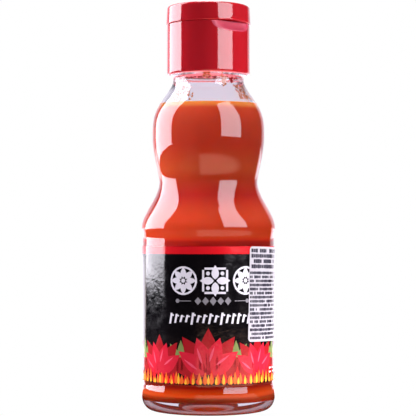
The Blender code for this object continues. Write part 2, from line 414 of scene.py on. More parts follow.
@dataclass(frozen=True)
class PrintedFilm:
    """Glossy printed film of one ink, crinkled a little where it is stretched round the bottle."""

    name: str
    colour: Colour
    shade: Colour
    roughness: Point = (0.07, 0.16)
    crinkle_size: float = 1.5
    crinkle_depth: float = 0.04

    def material(self) -> bpy.types.Material:
        """Makes the material. Every ink has the same crinkles, because they lie on one film."""
        desk = ShaderDesk(self.name)
        mottle = desk.grain(2.2, 3.0)
        desk.set(Base_Color=desk.blend(mottle, paint(self.colour), paint(self.shade)), IOR=1.5)
        desk.set(Roughness=desk.remap(desk.grain(4.0, 2.0), 0.3, 0.7, *self.roughness))
        desk.relief(desk.grain(self.crinkle_size, 2.0), self.crinkle_depth)
        return desk.material


@dataclass(frozen=True)
class CoatedPaper:
    """Satin white paper with a fine tooth."""

    name: str
    colour: Colour = (0.55, 0.525, 0.56)
    shade: Colour = (0.50, 0.470, 0.52)
    roughness: float = 0.38

    def material(self) -> bpy.types.Material:
        """Makes the material."""
        desk = ShaderDesk(self.name)
        fibres = desk.grain(0.5, 4.0, (1.0, 1.0, 2.0))
        desk.set(Base_Color=desk.blend(fibres, paint(self.colour), paint(self.shade)))
        desk.set(Roughness=self.roughness)
        desk.relief(fibres, 0.004)
        return desk.material


class GeometryTree:
    """A Geometry Nodes tree with named inputs, built here and run on one mesh at a time."""

    def __init__(self, name: str, inputs: dict[str, str]) -> None:
        """Starts a tree.

        Args:
            name: The tree's name.
            inputs: Each named input's socket type.
        """
        self.tree = bpy.data.node_groups.new(name, "GeometryNodeTree")
        face = self.tree.interface
        face.new_socket(name="Geometry", in_out="INPUT", socket_type="NodeSocketGeometry")
        for label, kind in inputs.items():
            face.new_socket(name=label, in_out="INPUT", socket_type=kind)
        face.new_socket(name="Geometry", in_out="OUTPUT", socket_type="NodeSocketGeometry")
        self.desk = NodeDesk(self.tree)
        self.given = self.desk.add("NodeGroupInput").outputs
        self.result = self.desk.add("NodeGroupOutput").inputs["Geometry"]

    def end(self, geometry: Socket) -> None:
        """Realizes the instances, gives them the Finish input's material, and ends the tree."""
        real = self.desk.add("GeometryNodeRealizeInstances", {"Geometry": geometry}).outputs[0]
        inputs = {"Geometry": real, "Material": self.given["Finish"]}
        self.desk.feed(self.result, self.desk.add("GeometryNodeSetMaterial", inputs).outputs[0])

    def vector(self, x: SocketValue, y: SocketValue, z: SocketValue) -> Socket:
        """Joins three numbers into a vector."""
        return self.desk.add("ShaderNodeCombineXYZ", {0: x, 1: y, 2: z}).outputs[0]

    def place(self) -> tuple[Socket, Socket, Socket]:
        """X, Y and Z of each point."""
        position = self.desk.add("GeometryNodeInputPosition").outputs[0]
        parts = self.desk.add("ShaderNodeSeparateXYZ", {0: position}).outputs
        return parts[0], parts[1], parts[2]

    def run(self, base: bpy.types.Mesh, name: str, **values: object) -> bpy.types.Object:
        """Runs the tree on a mesh.

        Args:
            base: The mesh that goes in.
            name: The new object's name.
            values: The named inputs, with _ for a space.

        Returns:
            An object at the origin that holds the result as a plain mesh.
        """
        obj = bpy.data.objects.new(name, base)
        bpy.context.scene.collection.objects.link(obj)
        modifier = obj.modifiers.new(self.tree.name, "NODES")
        modifier.node_group = self.tree
        for item in self.tree.interface.items_tree:
            key = item.name.replace(" ", "_")
            if item.in_out == "INPUT" and key in values:
                modifier[item.identifier] = values[key]
        baked = plain_mesh(obj)
        obj.modifiers.clear()
        obj.data = baked
        return obj


def plain_mesh(obj: bpy.types.Object) -> bpy.types.Mesh:
    """The object's mesh with its modifiers applied."""
    bpy.context.view_layer.update()
    depsgraph = bpy.context.evaluated_depsgraph_get()
    return bpy.data.meshes.new_from_object(obj.evaluated_get(depsgraph))


class TurnTree(GeometryTree):
    """Turns an outline about Z, one row of the surface for each of its points."""

    def __init__(self) -> None:
        """Builds the tree."""
        kinds = {"Rows": "NodeSocketInt", "Segments": "NodeSocketInt", "Finish": "NodeSocketMaterial"}
        super().__init__("turn_outline", kinds)
        desk, rows, segments = self.desk, self.given["Rows"], self.given["Segments"]
        last_row = desk.work("SUBTRACT", rows, 1.0)
        sizes = {"Size X": last_row, "Size Y": segments, "Vertices X": rows}
        grid = desk.add("GeometryNodeMeshGrid", sizes)
        desk.feed(grid.inputs["Vertices Y"], desk.work("ADD", segments, 1.0))
        x, y, _ = self.place()
        row = desk.work("ROUND", desk.work("ADD", x, desk.work("DIVIDE", last_row, 2.0)))
        column = desk.work("ADD", y, desk.work("DIVIDE", segments, 2.0))
        angle = desk.work("MULTIPLY", desk.work("DIVIDE", column, segments), TURN)
        sample = desk.add("GeometryNodeSampleIndex", {"Geometry": self.given["Geometry"], "Index": row},
                          data_type="FLOAT_VECTOR", domain="POINT")
        position = desk.add("GeometryNodeInputPosition").outputs[0]
        desk.feed(sample.inputs["Value"], position)
        outline = desk.add("ShaderNodeSeparateXYZ", {0: sample.outputs["Value"]}).outputs
        across = desk.work("MULTIPLY", outline[0], desk.work("SINE", angle))
        ahead = desk.work("MULTIPLY", outline[0], desk.work("COSINE", angle))
        target = self.vector(across, desk.work("MULTIPLY", ahead, -1.0), outline[2])
        moved = desk.add("GeometryNodeSetPosition", {"Geometry": grid.outputs["Mesh"], "Position": target})
        joined = desk.add("GeometryNodeMergeByDistance", {"Geometry": moved.outputs[0], "Distance": WELD})
        smooth = desk.add("GeometryNodeSetShadeSmooth", {"Geometry": joined.outputs[0]})
        self.end(smooth.outputs[0])

    def turn(self, name: str, outline: Outline, segments: int,
             finish: bpy.types.Material) -> bpy.types.Object:
        """Turns an outline that runs from the axis or a bore down the outer side.

        Args:
            name: The piece's name.
            outline: Radius and height of each row, in millimetres.
            segments: How many columns go round.
            finish: The material.

        Returns:
            The turned piece, facing outwards.
        """
        mesh = bpy.data.meshes.new(name + "_outline")
        edges = [(i, i + 1) for i in range(len(outline) - 1)]
        mesh.from_pydata([(radius * MM, 0.0, height * MM) for radius, height in outline], edges, [])
        piece = self.run(mesh, name, Rows=len(outline), Segments=segments, Finish=finish)
        face_out(piece.data)
        return piece


class DropTree(GeometryTree):
    """Scatters flattened drops over a patch of wall, longer down the wall than across."""

    def __init__(self) -> None:
        """Builds the tree."""
        kinds = {"Density": "NodeSocketFloat", "Seed": "NodeSocketInt", "Smallest": "NodeSocketFloat",
                 "Largest": "NodeSocketFloat", "Length": "NodeSocketFloat", "Thickness": "NodeSocketFloat",
                 "Finish": "NodeSocketMaterial"}
        super().__init__("scatter_drops", kinds)
        desk, given = self.desk, self.given
        inputs = {"Mesh": given["Geometry"], "Density": given["Density"], "Seed": given["Seed"]}
        points = desk.add("GeometryNodeDistributePointsOnFaces", inputs)
        outward = desk.add("FunctionNodeAlignRotationToVector", {"Vector": points.outputs["Normal"]},
                           axis="Z")
        upright = desk.add("FunctionNodeAlignRotationToVector",
                           {"Rotation": outward.outputs[0], "Vector": (0.0, 0.0, 1.0)},
                           axis="Y", pivot_axis="Z")
        size = desk.add("FunctionNodeRandomValue", data_type="FLOAT")
        ends = [s for s in size.inputs if s.enabled and s.name in ("Min", "Max")]
        desk.feed(ends[0], given["Smallest"])
        desk.feed(ends[1], given["Largest"])
        desk.feed(next(s for s in size.inputs if s.name == "Seed"), given["Seed"])
        width = next(s for s in size.outputs if s.enabled)
        drop = desk.add("GeometryNodeMeshIcoSphere", {"Radius": 1.0, "Subdivisions": 2})
        smooth = desk.add("GeometryNodeSetShadeSmooth", {"Geometry": drop.outputs["Mesh"]})
        scale = self.vector(width, desk.work("MULTIPLY", width, given["Length"]), given["Thickness"])
        on_wall = desk.add("GeometryNodeInstanceOnPoints",
                           {"Points": points.outputs["Points"], "Instance": smooth.outputs[0],
                            "Rotation": upright.outputs[0], "Scale": scale})
        self.end(on_wall.outputs[0])


class RowTree(GeometryTree):
    """Repeats a flat motif along X, each copy a little longer or shorter than the last."""

    def __init__(self) -> None:
        """Builds the tree."""
        kinds = {"Count": "NodeSocketInt", "Spacing": "NodeSocketFloat", "Shortest": "NodeSocketFloat",
                 "Seed": "NodeSocketInt", "Finish": "NodeSocketMaterial"}
        super().__init__("motif_row", kinds)
        desk, given = self.desk, self.given
        count = given["Count"]
        spaces = desk.work("SUBTRACT", count, 1.0)
        start = desk.work("MULTIPLY", desk.work("MULTIPLY", spaces, given["Spacing"]), -0.5)
        line = desk.add("GeometryNodeMeshLine", {"Count": count})
        desk.feed(line.inputs["Start Location"], self.vector(start, 0.0, 0.0))
        desk.feed(line.inputs["Offset"], self.vector(given["Spacing"], 0.0, 0.0))
        size = desk.add("FunctionNodeRandomValue", data_type="FLOAT")
        ends = [s for s in size.inputs if s.enabled and s.name in ("Min", "Max")]
        desk.feed(ends[0], given["Shortest"])
        desk.feed(ends[1], 1.0)
        desk.feed(next(s for s in size.inputs if s.name == "Seed"), given["Seed"])
        length = next(s for s in size.outputs if s.enabled)
        copies = desk.add("GeometryNodeInstanceOnPoints",
                          {"Points": line.outputs["Mesh"], "Instance": given["Geometry"],
                           "Scale": self.vector(1.0, length, 1.0)})
        self.end(copies.outputs[0])


class RosetteTree(GeometryTree):
    """Repeats a flat motif round the middle of its own plane."""

    def __init__(self) -> None:
        """Builds the tree."""
        kinds = {"Count": "NodeSocketInt", "Sweep": "NodeSocketFloat", "Start": "NodeSocketFloat",
                 "Finish": "NodeSocketMaterial"}
        super().__init__("motif_rosette", kinds)
        desk, given = self.desk, self.given
        line = desk.add("GeometryNodeMeshLine", {"Count": given["Count"], "Offset": (0.0, 0.0, 0.0)})
        index = desk.add("GeometryNodeInputIndex").outputs[0]
        angle = desk.work("ADD", desk.work("MULTIPLY", index, given["Sweep"]), given["Start"])
        copies = desk.add("GeometryNodeInstanceOnPoints",
                          {"Points": line.outputs["Mesh"], "Instance": given["Geometry"],
                           "Rotation": self.vector(0.0, 0.0, angle)})
        self.end(copies.outputs[0])


class LineTree(GeometryTree):
    """Rows of small blocks with gaps between groups, in place of small print."""

    def __init__(self) -> None:
        """Builds the tree."""
        kinds = {"Rows": "NodeSocketInt", "Columns": "NodeSocketInt", "Pitch": "NodeSocketFloat",
                 "Step": "NodeSocketFloat", "Gaps": "NodeSocketFloat", "Smallest": "NodeSocketFloat",
                 "Seed": "NodeSocketInt", "Finish": "NodeSocketMaterial"}
        super().__init__("small_print", kinds)
        desk, given = self.desk, self.given
        wide = desk.work("MULTIPLY", desk.work("SUBTRACT", given["Columns"], 1.0), given["Step"])
        tall = desk.work("MULTIPLY", desk.work("SUBTRACT", given["Rows"], 1.0), given["Pitch"])
        grid = desk.add("GeometryNodeMeshGrid", {"Size X": wide, "Size Y": tall,
                                                 "Vertices X": given["Columns"],
                                                 "Vertices Y": given["Rows"]})
        points = desk.add("GeometryNodeMeshToPoints", {"Mesh": grid.outputs["Mesh"]})
        keep = self.random("BOOLEAN", given["Seed"])
        desk.feed(next(s for s in keep.inputs if s.name == "Probability"), given["Gaps"])
        gone = next(s for s in keep.outputs if s.enabled)
        left = desk.add("GeometryNodeDeleteGeometry", {"Geometry": points.outputs[0], "Selection": gone},
                        domain="POINT")
        size = self.random("FLOAT", desk.work("ADD", given["Seed"], 1.0))
        ends = [s for s in size.inputs if s.enabled and s.name in ("Min", "Max")]
        desk.feed(ends[0], given["Smallest"])
        desk.feed(ends[1], 1.0)
        height = next(s for s in size.outputs if s.enabled)
        blocks = desk.add("GeometryNodeInstanceOnPoints",
                          {"Points": left.outputs[0], "Instance": given["Geometry"],
                           "Scale": self.vector(height, height, 1.0)})
        self.end(blocks.outputs[0])

    def random(self, kind: str, seed: SocketValue) -> bpy.types.Node:
        """Adds a Random Value node of a kind with a seed."""
        node = self.desk.add("FunctionNodeRandomValue", data_type=kind)
        self.desk.feed(next(s for s in node.inputs if s.name == "Seed"), seed)
        return node


class WrapTree(GeometryTree):
    """Wraps a flat print round the bottle: X runs round the wall, Y up it and Z out of it."""

    def __init__(self) -> None:
        """Builds the tree."""
        super().__init__("wrap_round", {"Radius": "NodeSocketFloat", "Finish": "NodeSocketMaterial"})
        desk, radius = self.desk, self.given["Radius"]
        x, y, z = self.place()
        angle = desk.work("DIVIDE", x, radius)
        reach = desk.work("ADD", radius, z)
        across = desk.work("MULTIPLY", reach, desk.work("SINE", angle))
        ahead = desk.work("MULTIPLY", desk.work("MULTIPLY", reach, desk.work("COSINE", angle)), -1.0)
        inputs = {"Geometry": self.given["Geometry"], "Position": self.vector(across, ahead, y)}
        self.end(desk.add("GeometryNodeSetPosition", inputs).outputs[0])


def face_out(mesh: bpy.types.Mesh) -> None:
    """Turns a closed mesh's faces outwards, all at once, if they point in."""
    volume = 0.0
    mesh.calc_loop_triangles()
    for triangle in mesh.loop_triangles:
        a, b, c = (mesh.vertices[i].co for i in triangle.vertices)
        volume += a.dot(b.cross(c))
    if volume < 0.0:
        mesh.flip_normals()


def ring_mesh(name: str, rings: list[list[Vector]]) -> bpy.types.Mesh:
    """Skins a stack of closed rings. A ring of one point closes an end.

    Args:
        name: The mesh's name.
        rings: The rings in order, in millimetres, each with as many points as the others or only one.

    Returns:
        The closed, smooth mesh.
    """
    verts, starts, faces = [], [], []
    for ring in rings:
        starts.append(len(verts))
        verts += [point * MM for point in ring]
    for i in range(len(rings) - 1):
        above, below = rings[i], rings[i + 1]
        count = max(len(above), len(below))
        for j in range(count):
            k = (j + 1) % count
            if len(above) == 1:
                faces.append((starts[i], starts[i + 1] + j, starts[i + 1] + k))
            elif len(below) == 1:
                faces.append((starts[i] + j, starts[i + 1], starts[i] + k))
            else:
                faces.append((starts[i] + j, starts[i + 1] + j, starts[i + 1] + k, starts[i] + k))
    mesh = bpy.data.meshes.new(name)
    mesh.from_pydata(verts, [], faces)
    mesh.shade_smooth()
    face_out(mesh)
    return mesh


def on_wall(azimuth: float, radius: float, height: float) -> Vector:
    """A point by its azimuth in degrees, its distance from the axis and its height."""
    angle = math.radians(azimuth)
    return Vector((radius * math.sin(angle), -radius * math.cos(angle), height))


def new_object(name: str, mesh: bpy.types.Mesh, *finishes: bpy.types.Material) -> bpy.types.Object:
    """A new object at the origin with these materials."""
    for finish in finishes:
        mesh.materials.append(finish)
    obj = bpy.data.objects.new(name, mesh)
    bpy.context.scene.collection.objects.link(obj)
    return obj


def mount(piece: bpy.types.Object, slot: Slot, *nodes: str) -> bpy.types.Object:
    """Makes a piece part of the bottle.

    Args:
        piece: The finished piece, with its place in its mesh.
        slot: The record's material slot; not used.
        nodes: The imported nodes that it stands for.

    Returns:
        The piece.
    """
    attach(piece, "root")
    if nodes:
        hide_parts(*nodes)
    LOG.info("%s: %d faces", piece.name, len(piece.data.polygons))
    return piece


@dataclass(frozen=True)
class WallShape:
    """The bottle's outside, a stack of S-shaped stretches between its widest and narrowest places."""

    foot_radius: float = 21.4
    heel_height: float = 7.2
    heel_fullness: float = 2.4
    foot_bulge_top: float = 8.2
    panel_radius: float = 25.95
    panel_bottom: float = 11.4
    panel_top: float = 67.4
    shoulder_height: float = 72.0
    waist_radius: float = 19.45
    waist_height: float = 90.1
    globe_radius: float = 22.2
    globe_height: float = 108.2
    neck_radius: float = 14.0
    neck_height: float = 130.5
    bore_radius: float = 10.8
    bulge_radius: float = field(default_factory=lambda: radius_of("glass_bottle"))

    def heel(self, rows: int) -> Outline:
        """The heel from the foot ring up to the widest place."""
        points = []
        for row in range(rows + 1):
            angle = math.pi / 2.0 * row / rows
            out = math.sin(angle) ** (2.0 / self.heel_fullness)
            down = math.cos(angle) ** (2.0 / self.heel_fullness)
            reach = self.bulge_radius - self.foot_radius
            points.append((self.foot_radius + reach * out, self.heel_height * (1.0 - down)))
        return points

    def body(self, inset: float, fine: int) -> Outline:
        """The wall from above the heel to the neck.

        Args:
            inset: How far it is drawn in.
            fine: Rows for each of the shorter stretches; the long ones have two or three times as many.

        Returns:
            The points, bottom to top.
        """
        bulge, panel = self.bulge_radius - inset, self.panel_radius - inset
        waist, globe = self.waist_radius - inset, self.globe_radius - inset
        neck = max(self.neck_radius - inset, self.bore_radius)
        wall = rise((bulge, self.foot_bulge_top), (panel, self.panel_bottom), 1.0, fine)
        wall += straight(wall[-1], (panel, self.panel_top), fine)[1:]
        wall += rise(wall[-1], (bulge, self.shoulder_height), 1.0, fine)[1:]
        wall += rise(wall[-1], (waist, self.waist_height), 0.94, 3 * fine)[1:]
        wall += rise(wall[-1], (globe, self.globe_height), 0.78, 2 * fine)[1:]
        wall += rise(wall[-1], (neck, self.neck_height), 1.65, 3 * fine)[1:]
        return wall


@dataclass
class GlassBottle:
    """The clear bottle: outer wall, collar under the cap, thick floor with a hollow under it."""

    shape: WallShape
    wall: float = 2.4
    floor: float = 4.8
    inner_heel: float = 3.4
    hollow_radius: float = 19.4
    hollow_rise: float = 4.4
    hollow_flatness: float = 4.0
    push_up: float = 2.0
    collar_radius: float = 15.9
    collar_edge: float = 0.4
    collar_round: float = 0.18
    cove: float = 1.2
    finish_radius: float = 13.3
    foot_round: float = 0.5
    fine: int = 10
    segments: int = 192

    def cavity(self, inset: float) -> Outline:
        """The inside from the middle of its domed floor to the neck.

        Args:
            inset: How far the wall is drawn in from the outside.

        Returns:
            The points, from the axis outwards and up, with a round corner at the floor.
        """
        lift = self.floor + inset - self.wall
        middle = (self.shape.bulge_radius - inset - self.inner_heel, lift + self.inner_heel)
        shares = [step / self.fine for step in range(self.fine)]
        dome = [(middle[0] * out, lift + self.push_up * (1.0 - out * out)) for out in shares]
        corner = arc(middle, self.inner_heel, -90.0, 0.0, self.fine)
        return dome + corner + [point for point in self.shape.body(inset, self.fine) if point[1] > middle[1]]

    def outside(self, seat: float, top: float) -> Outline:
        """The outer wall from the foot ring to the mouth.

        Args:
            seat: The collar's top.
            top: The mouth's height.

        Returns:
            The points, bottom to top.
        """
        under = seat - self.collar_edge
        middle = (self.shape.neck_radius + self.cove, under - self.cove)
        points = self.shape.heel(2 * self.fine) + self.shape.body(0.0, self.fine)
        points += arc(middle, self.cove, 180.0, 90.0, self.fine)
        bead = self.collar_round
        points += arc((self.collar_radius - bead, under + bead), bead, -90.0, 0.0, 4)
        points += arc((self.collar_radius - bead, seat - bead), bead, 0.0, 90.0, 4)
        points += [(self.finish_radius, seat), (self.finish_radius, top)]
        return points

    def underside(self) -> Outline:
        """The foot ring and the hollow under the floor, from the ring to the axis."""
        points = []
        for row in range(2 * self.fine + 1):
            out = 1.0 - row / (2.0 * self.fine)
            points.append((self.hollow_radius * out, self.hollow_rise * (1.0 - out**self.hollow_flatness)))
        return points

    def build(self, turner: TurnTree) -> bpy.types.Object:
        """Turns the bottle as one closed shell."""
        _, top = heights_of("glass_bottle")
        cap_bottom, _ = heights_of("cap_base")
        outer = list(reversed(self.outside(cap_bottom - 0.3, top)))
        inner = self.cavity(self.wall) + [(self.shape.bore_radius, top)]
        outline = outer + self.underside() + inner + [outer[0]]
        piece = turner.turn("glass_wall", outline, self.segments, ClearGlass().material())
        return mount(piece, Slot.GLASS, "glass_bottle")


@dataclass
class SauceFill:
    """The sauce, reaching just into the glass so that no air shows between them."""

    bottle: GlassBottle
    reach: float = 0.08
    meniscus: float = 0.7
    meniscus_width: float = 2.2
    segments: int = 160

    def outline(self) -> Outline:
        """The fill from the middle of its surface, up to the glass and down its side to the floor."""
        level = heights_of("sauce")[1]
        shore = level + self.meniscus
        wall = self.bottle.cavity(self.bottle.wall - self.reach)
        below = [point for point in wall if point[1] < shore]
        above = next(point for point in wall if point[1] >= shore)
        share = (shore - below[-1][1]) / (above[1] - below[-1][1])
        edge = below[-1][0] + (above[0] - below[-1][0]) * share
        surface = [(0.0, level), (edge * 0.5, level)]
        for row in range(7):
            near = row / 6.0
            surface.append((edge - self.meniscus_width * (1.0 - near), level + self.meniscus * near**3))
        return surface + list(reversed(below))

    def build(self, turner: TurnTree) -> bpy.types.Object:
        """Turns the fill, with a wet finish on its open surface and a near-black painted shade on its
        underside.
        """
        level = heights_of("sauce")[1]
        wall = SauceBody("sauce_on_glass").material()
        open_top = SauceBody("sauce_open", roughness=0.12, specular=0.5).material()
        # Painted shade: a near-black finish for the underside of the fill.
        under = SauceStainAndShade("sauce_underside", (0.10, 0.012, 0.014), (0.06, 0.008, 0.010)).material()
        piece = turner.turn("sauce_fill", self.outline(), self.segments, wall)
        piece.data.materials.append(open_top)
        piece.data.materials.append(under)
        for face in piece.data.polygons:
            if face.center.z / MM > level - 0.05 and face.normal.z > 0.3:
                face.material_index = 1
            # Painted shade: the lowest faces of the fill get the near-black finish.
            elif face.center.z / MM < self.bottle.floor + (3.0 if face.normal.z < -0.8 else 1.1):
                face.material_index = 2
        return mount(piece, Slot.SAUCE, "sauce")


@dataclass(frozen=True)
class StainPatch:
    """One patch of dried sauce: where it is on the inner wall, and how its drops look."""

    name: str
    azimuths: Point
    heights: Point
    density: float
    sizes: Point
    length: float
    seed: int
    fresh: bool = False


@dataclass
class NeckStains:
    """Drips and specks of sauce on the inside of the neck, above the fill."""

    bottle: GlassBottle
    thickness: float = 0.16
    patches: tuple[StainPatch, ...] = (
        StainPatch("stain_left", (-62.0, -22.0), (120.6, 126.6), 0.7, (0.14, 0.46), 1.4, 4),
        StainPatch("stain_right", (46.0, 84.0), (121.3, 127.4), 1.6, (0.16, 0.5), 1.3, 9),
        StainPatch("stain_spot", (44.0, 50.0), (128.6, 131.4), 2.4, (0.4, 0.8), 1.5, 21, True),
        StainPatch("stain_drip", (24.0, 33.0), (126.6, 132.4), 1.6, (0.3, 0.62), 1.7, 3),
        StainPatch("stain_middle", (-10.0, 6.0), (130.6, 133.0), 1.5, (0.3, 0.7), 1.0, 5),
        StainPatch("stain_dots", (1.0, 6.0), (125.8, 129.0), 0.55, (0.2, 0.36), 0.8, 12),
        StainPatch("stain_ring", (-78.0, 78.0), (130.0, 131.0), 3.2, (0.22, 0.42), 1.0, 15, True),
    )

    def radius_at(self, height: float) -> float:
        """The inner wall's radius at a height."""
        wall = self.bottle.cavity(self.bottle.wall)
        after = next((i for i, point in enumerate(wall) if i > 0 and point[1] >= height), len(wall) - 1)
        low, high = wall[after - 1], wall[after]
        share = min(1.0, (height - low[1]) / (high[1] - low[1]))
        return low[0] + (high[0] - low[0]) * share

    def patch_mesh(self, patch: StainPatch, steps: int = 8) -> bpy.types.Mesh:
        """A piece of the inner wall, facing the axis."""
        verts, faces = [], []
        for row in range(steps + 1):
            height = patch.heights[0] + (patch.heights[1] - patch.heights[0]) * row / steps
            for column in range(steps + 1):
                azimuth = patch.azimuths[0] + (patch.azimuths[1] - patch.azimuths[0]) * column / steps
                verts.append(on_wall(azimuth, self.radius_at(height), height) * MM)
        for row in range(steps):
            for column in range(steps):
                first = row * (steps + 1) + column
                faces.append((first, first + steps + 1, first + steps + 2, first + 1))
        mesh = bpy.data.meshes.new(patch.name)
        mesh.from_pydata(verts, [], faces)
        return mesh

    def build(self, scatter: DropTree) -> list[bpy.types.Object]:
        """Scatters the drops of each patch."""
        dried = SauceStainAndShade().material()
        fresh = SauceStainAndShade("sauce_stain_fresh", (0.62, 0.045, 0.06), (0.50, 0.03, 0.04)).material()
        pieces = []
        for patch in self.patches:
            finish = fresh if patch.fresh else dried
            piece = scatter.run(self.patch_mesh(patch), patch.name, Density=patch.density / MM**2,
                                Seed=patch.seed, Smallest=patch.sizes[0] * MM, Largest=patch.sizes[1] * MM,
                                Length=patch.length, Thickness=self.thickness * MM, Finish=finish)
            pieces.append(mount(piece, Slot.SAUCE))
        return pieces


@dataclass
class FlipTopCap:
    """The red screw cap: a skirt with a thumb scoop, a flip lid with a lip over it, and a hinge behind."""

    skirt_radius: float = field(default_factory=lambda: radius_of("cap_base"))
    lid_radius: float = field(default_factory=lambda: radius_of("cap_lid"))
    bottom: float = field(default_factory=lambda: heights_of("cap_base")[0])
    seat: float = field(default_factory=lambda: heights_of("cap_lid")[0])
    top: float = field(default_factory=lambda: heights_of("cap_lid")[1])
    draft: float = 0.05
    foot_round: Point = (0.4, 0.9)
    bore: float = 13.27
    bore_top: float = 146.97
    seam: float = 0.12
    thumb_azimuth: float = 39.0
    scoop_radius: float = 3.93
    scoop_distance: float = 18.25
    scoop_blend: float = 0.42
    lip_arch: float = 0.45
    lip_half_angle: float = 34.0
    lip_flare: float = 0.45
    lip_height: float = 1.5
    lid_top_inset: float = 0.3
    lid_edge: float = 0.9
    rim_round: float = 0.35
    hinge_half_width: float = 4.0
    hinge_depth: float = 0.8
    hinge_below: float = 1.8
    hinge_above: float = 2.2
    columns: int = 480
    deck_round: float = 0.18
    satin_margin: Point = (2.6, 0.25)
    satin_least: float = 0.0008
    satin_depth: float = 3.5

    def parting(self) -> float:
        """The height where the lid meets the skirt."""
        return self.seat - self.seam / 2.0

    def from_thumb(self, azimuth: float) -> float:
        """How far an azimuth is from the thumb scoop's middle, in degrees from -180 to 180."""
        return (azimuth - self.thumb_azimuth + 180.0) % 360.0 - 180.0

    def scooped(self, radius: float, azimuth: float, height: float) -> float:
        """The wall's radius with the thumb scoop taken out.

        Args:
            radius: The plain radius.
            azimuth: The place round the cap, in degrees.
            height: The place up the cap.

        Returns:
            The smaller of the plain radius and the scoop's face, with a round edge between.
        """
        off = math.radians(self.from_thumb(azimuth))
        room = self.scoop_radius**2 - (height - self.parting()) ** 2
        if abs(off) > 1.2 or room <= 0.0:
            return radius
        face = (self.scoop_distance - math.sqrt(room)) / math.cos(off)
        return smallest_smooth(radius, face, self.scoop_blend)

    def hinge_pocket(self, azimuth: float, height: float) -> float:
        """How deep the wall is set back for the hinge strap, from 0 to the strap's depth."""
        across = abs(abs(self.from_thumb(azimuth)) - 180.0)
        half = math.degrees(self.hinge_half_width / self.skirt_radius)
        side = min(1.0, max(0.0, (half + 1.6 - across) / 0.8))
        low, high = self.parting() - self.hinge_below, self.parting() + self.hinge_above
        level = min(1.0, max(0.0, min(height - low + 0.45, high + 0.45 - height) / 0.25))
        return self.hinge_depth * side * level

    def ring(self, radius: Callable[[float], float], height: Callable[[float], float]) -> list[Vector]:
        """One ring of points whose radius and height follow the azimuth."""
        turn = [360.0 * column / self.columns for column in range(self.columns)]
        return [on_wall(azimuth, radius(azimuth), height(azimuth)) for azimuth in turn]

    def skirt_rings(self) -> list[list[Vector]]:
        """The skirt from the middle of its deck, down the wall and up the bore."""
        deck = self.seat - self.seam
        wall = self.skirt_radius - self.draft
        rows: Outline = arc((wall - self.deck_round, deck - self.deck_round), self.deck_round, 90.0, 0.0, 4)
        rows += straight((wall, deck - self.deck_round), (wall, deck - 4.2), 44)[1:]
        deep, tall = self.foot_round
        rows += straight(rows[-1], (self.skirt_radius, self.bottom + tall), 10)[1:]
        for radius, height in arc((0.0, 0.0), 1.0, 0.0, -90.0, 8)[1:]:
            rows.append((self.skirt_radius - deep + deep * radius, self.bottom + tall + tall * height))
        rings = [[Vector((0.0, 0.0, deck))]]
        inner = 0.8 * self.scoop_distance - self.scoop_radius
        rings.append(self.ring(lambda a: inner, lambda a: deck))
        for radius, height in rows:
            rings.append(self.ring(
                lambda a, r=radius, h=height: self.scooped(r, a, h) - self.hinge_pocket(a, h),
                lambda a, h=height: h))
        rings.append(self.ring(lambda a: self.bore, lambda a: self.bottom))
        rings.append(self.ring(lambda a: self.bore, lambda a: self.bore_top))
        rings.append([Vector((0.0, 0.0, self.bore_top))])
        return rings

    def lid_rings(self) -> list[list[Vector]]:
        """The lid from the middle of its top, down its side, round its rim and across its underside."""
        shoulder = self.lid_radius - self.lid_top_inset
        rows = arc((shoulder - self.lid_edge, self.top - self.lid_edge), self.lid_edge, 90.0, 0.0, 10)
        rim_middle = (self.lid_radius - self.rim_round, self.seat + self.rim_round)
        rows += straight(rows[-1], (self.lid_radius, rim_middle[1]), 24)[1:]
        rows += arc(rim_middle, self.rim_round, 0.0, -90.0, 8)[1:]
        rings = [[Vector((0.0, 0.0, self.top))], self.ring(lambda a: 8.0, lambda a: self.top)]
        for radius, height in rows:
            rings.append(self.ring(
                lambda a, r=radius, h=height: r - self.lid_set_back(a, h) + self.lip_reach(a, h),
                lambda a, h=height: h + self.lip_lift(a) * (self.top - h) / (self.top - self.seat)))
        rings.append(self.ring(lambda a: 8.0, lambda a: self.seat))
        rings.append([Vector((0.0, 0.0, self.seat))])
        return rings

    def lid_set_back(self, azimuth: float, height: float) -> float:
        """How far the lid's side is set back at a place, for the hinge strap."""
        return 1.35 * self.hinge_pocket(azimuth, height)

    def lip_reach(self, azimuth: float, height: float) -> float:
        """How far the lid's rim flares out over the thumb scoop."""
        near = min(1.0, max(0.0, 1.0 - (height - self.seat) / self.lip_height))
        return self.lip_flare * near**1.6 * bump_share(self.from_thumb(azimuth), self.lip_half_angle)

    def lip_lift(self, azimuth: float) -> float:
        """How far the lid's rim arches up over the thumb scoop."""
        return self.lip_arch * bump_share(self.from_thumb(azimuth), self.lip_half_angle)

    def assign_finishes(self, mesh: bpy.types.Mesh) -> None:
        """Gives the thumb scoop's face the satin finish with its painted pink sheen, and the bore and the
        faces that face straight down the finish with a painted glow.
        """
        for face in mesh.polygons:
            middle = face.center / MM
            azimuth = math.degrees(math.atan2(middle.x, -middle.y))
            reach = math.hypot(middle.x, middle.y)
            inward = azimuth - math.copysign(self.satin_margin[0], self.from_thumb(azimuth))
            height = middle.z + self.satin_margin[1]
            cut = self.skirt_radius - self.scooped(self.skirt_radius, inward, height)
            if cut > self.satin_least and reach > self.skirt_radius - self.satin_depth:
                face.material_index = 1
            elif (reach < self.bore + 0.1 or face.normal.z < -0.99) and middle.z < self.bore_top + 0.1:
                face.material_index = 2

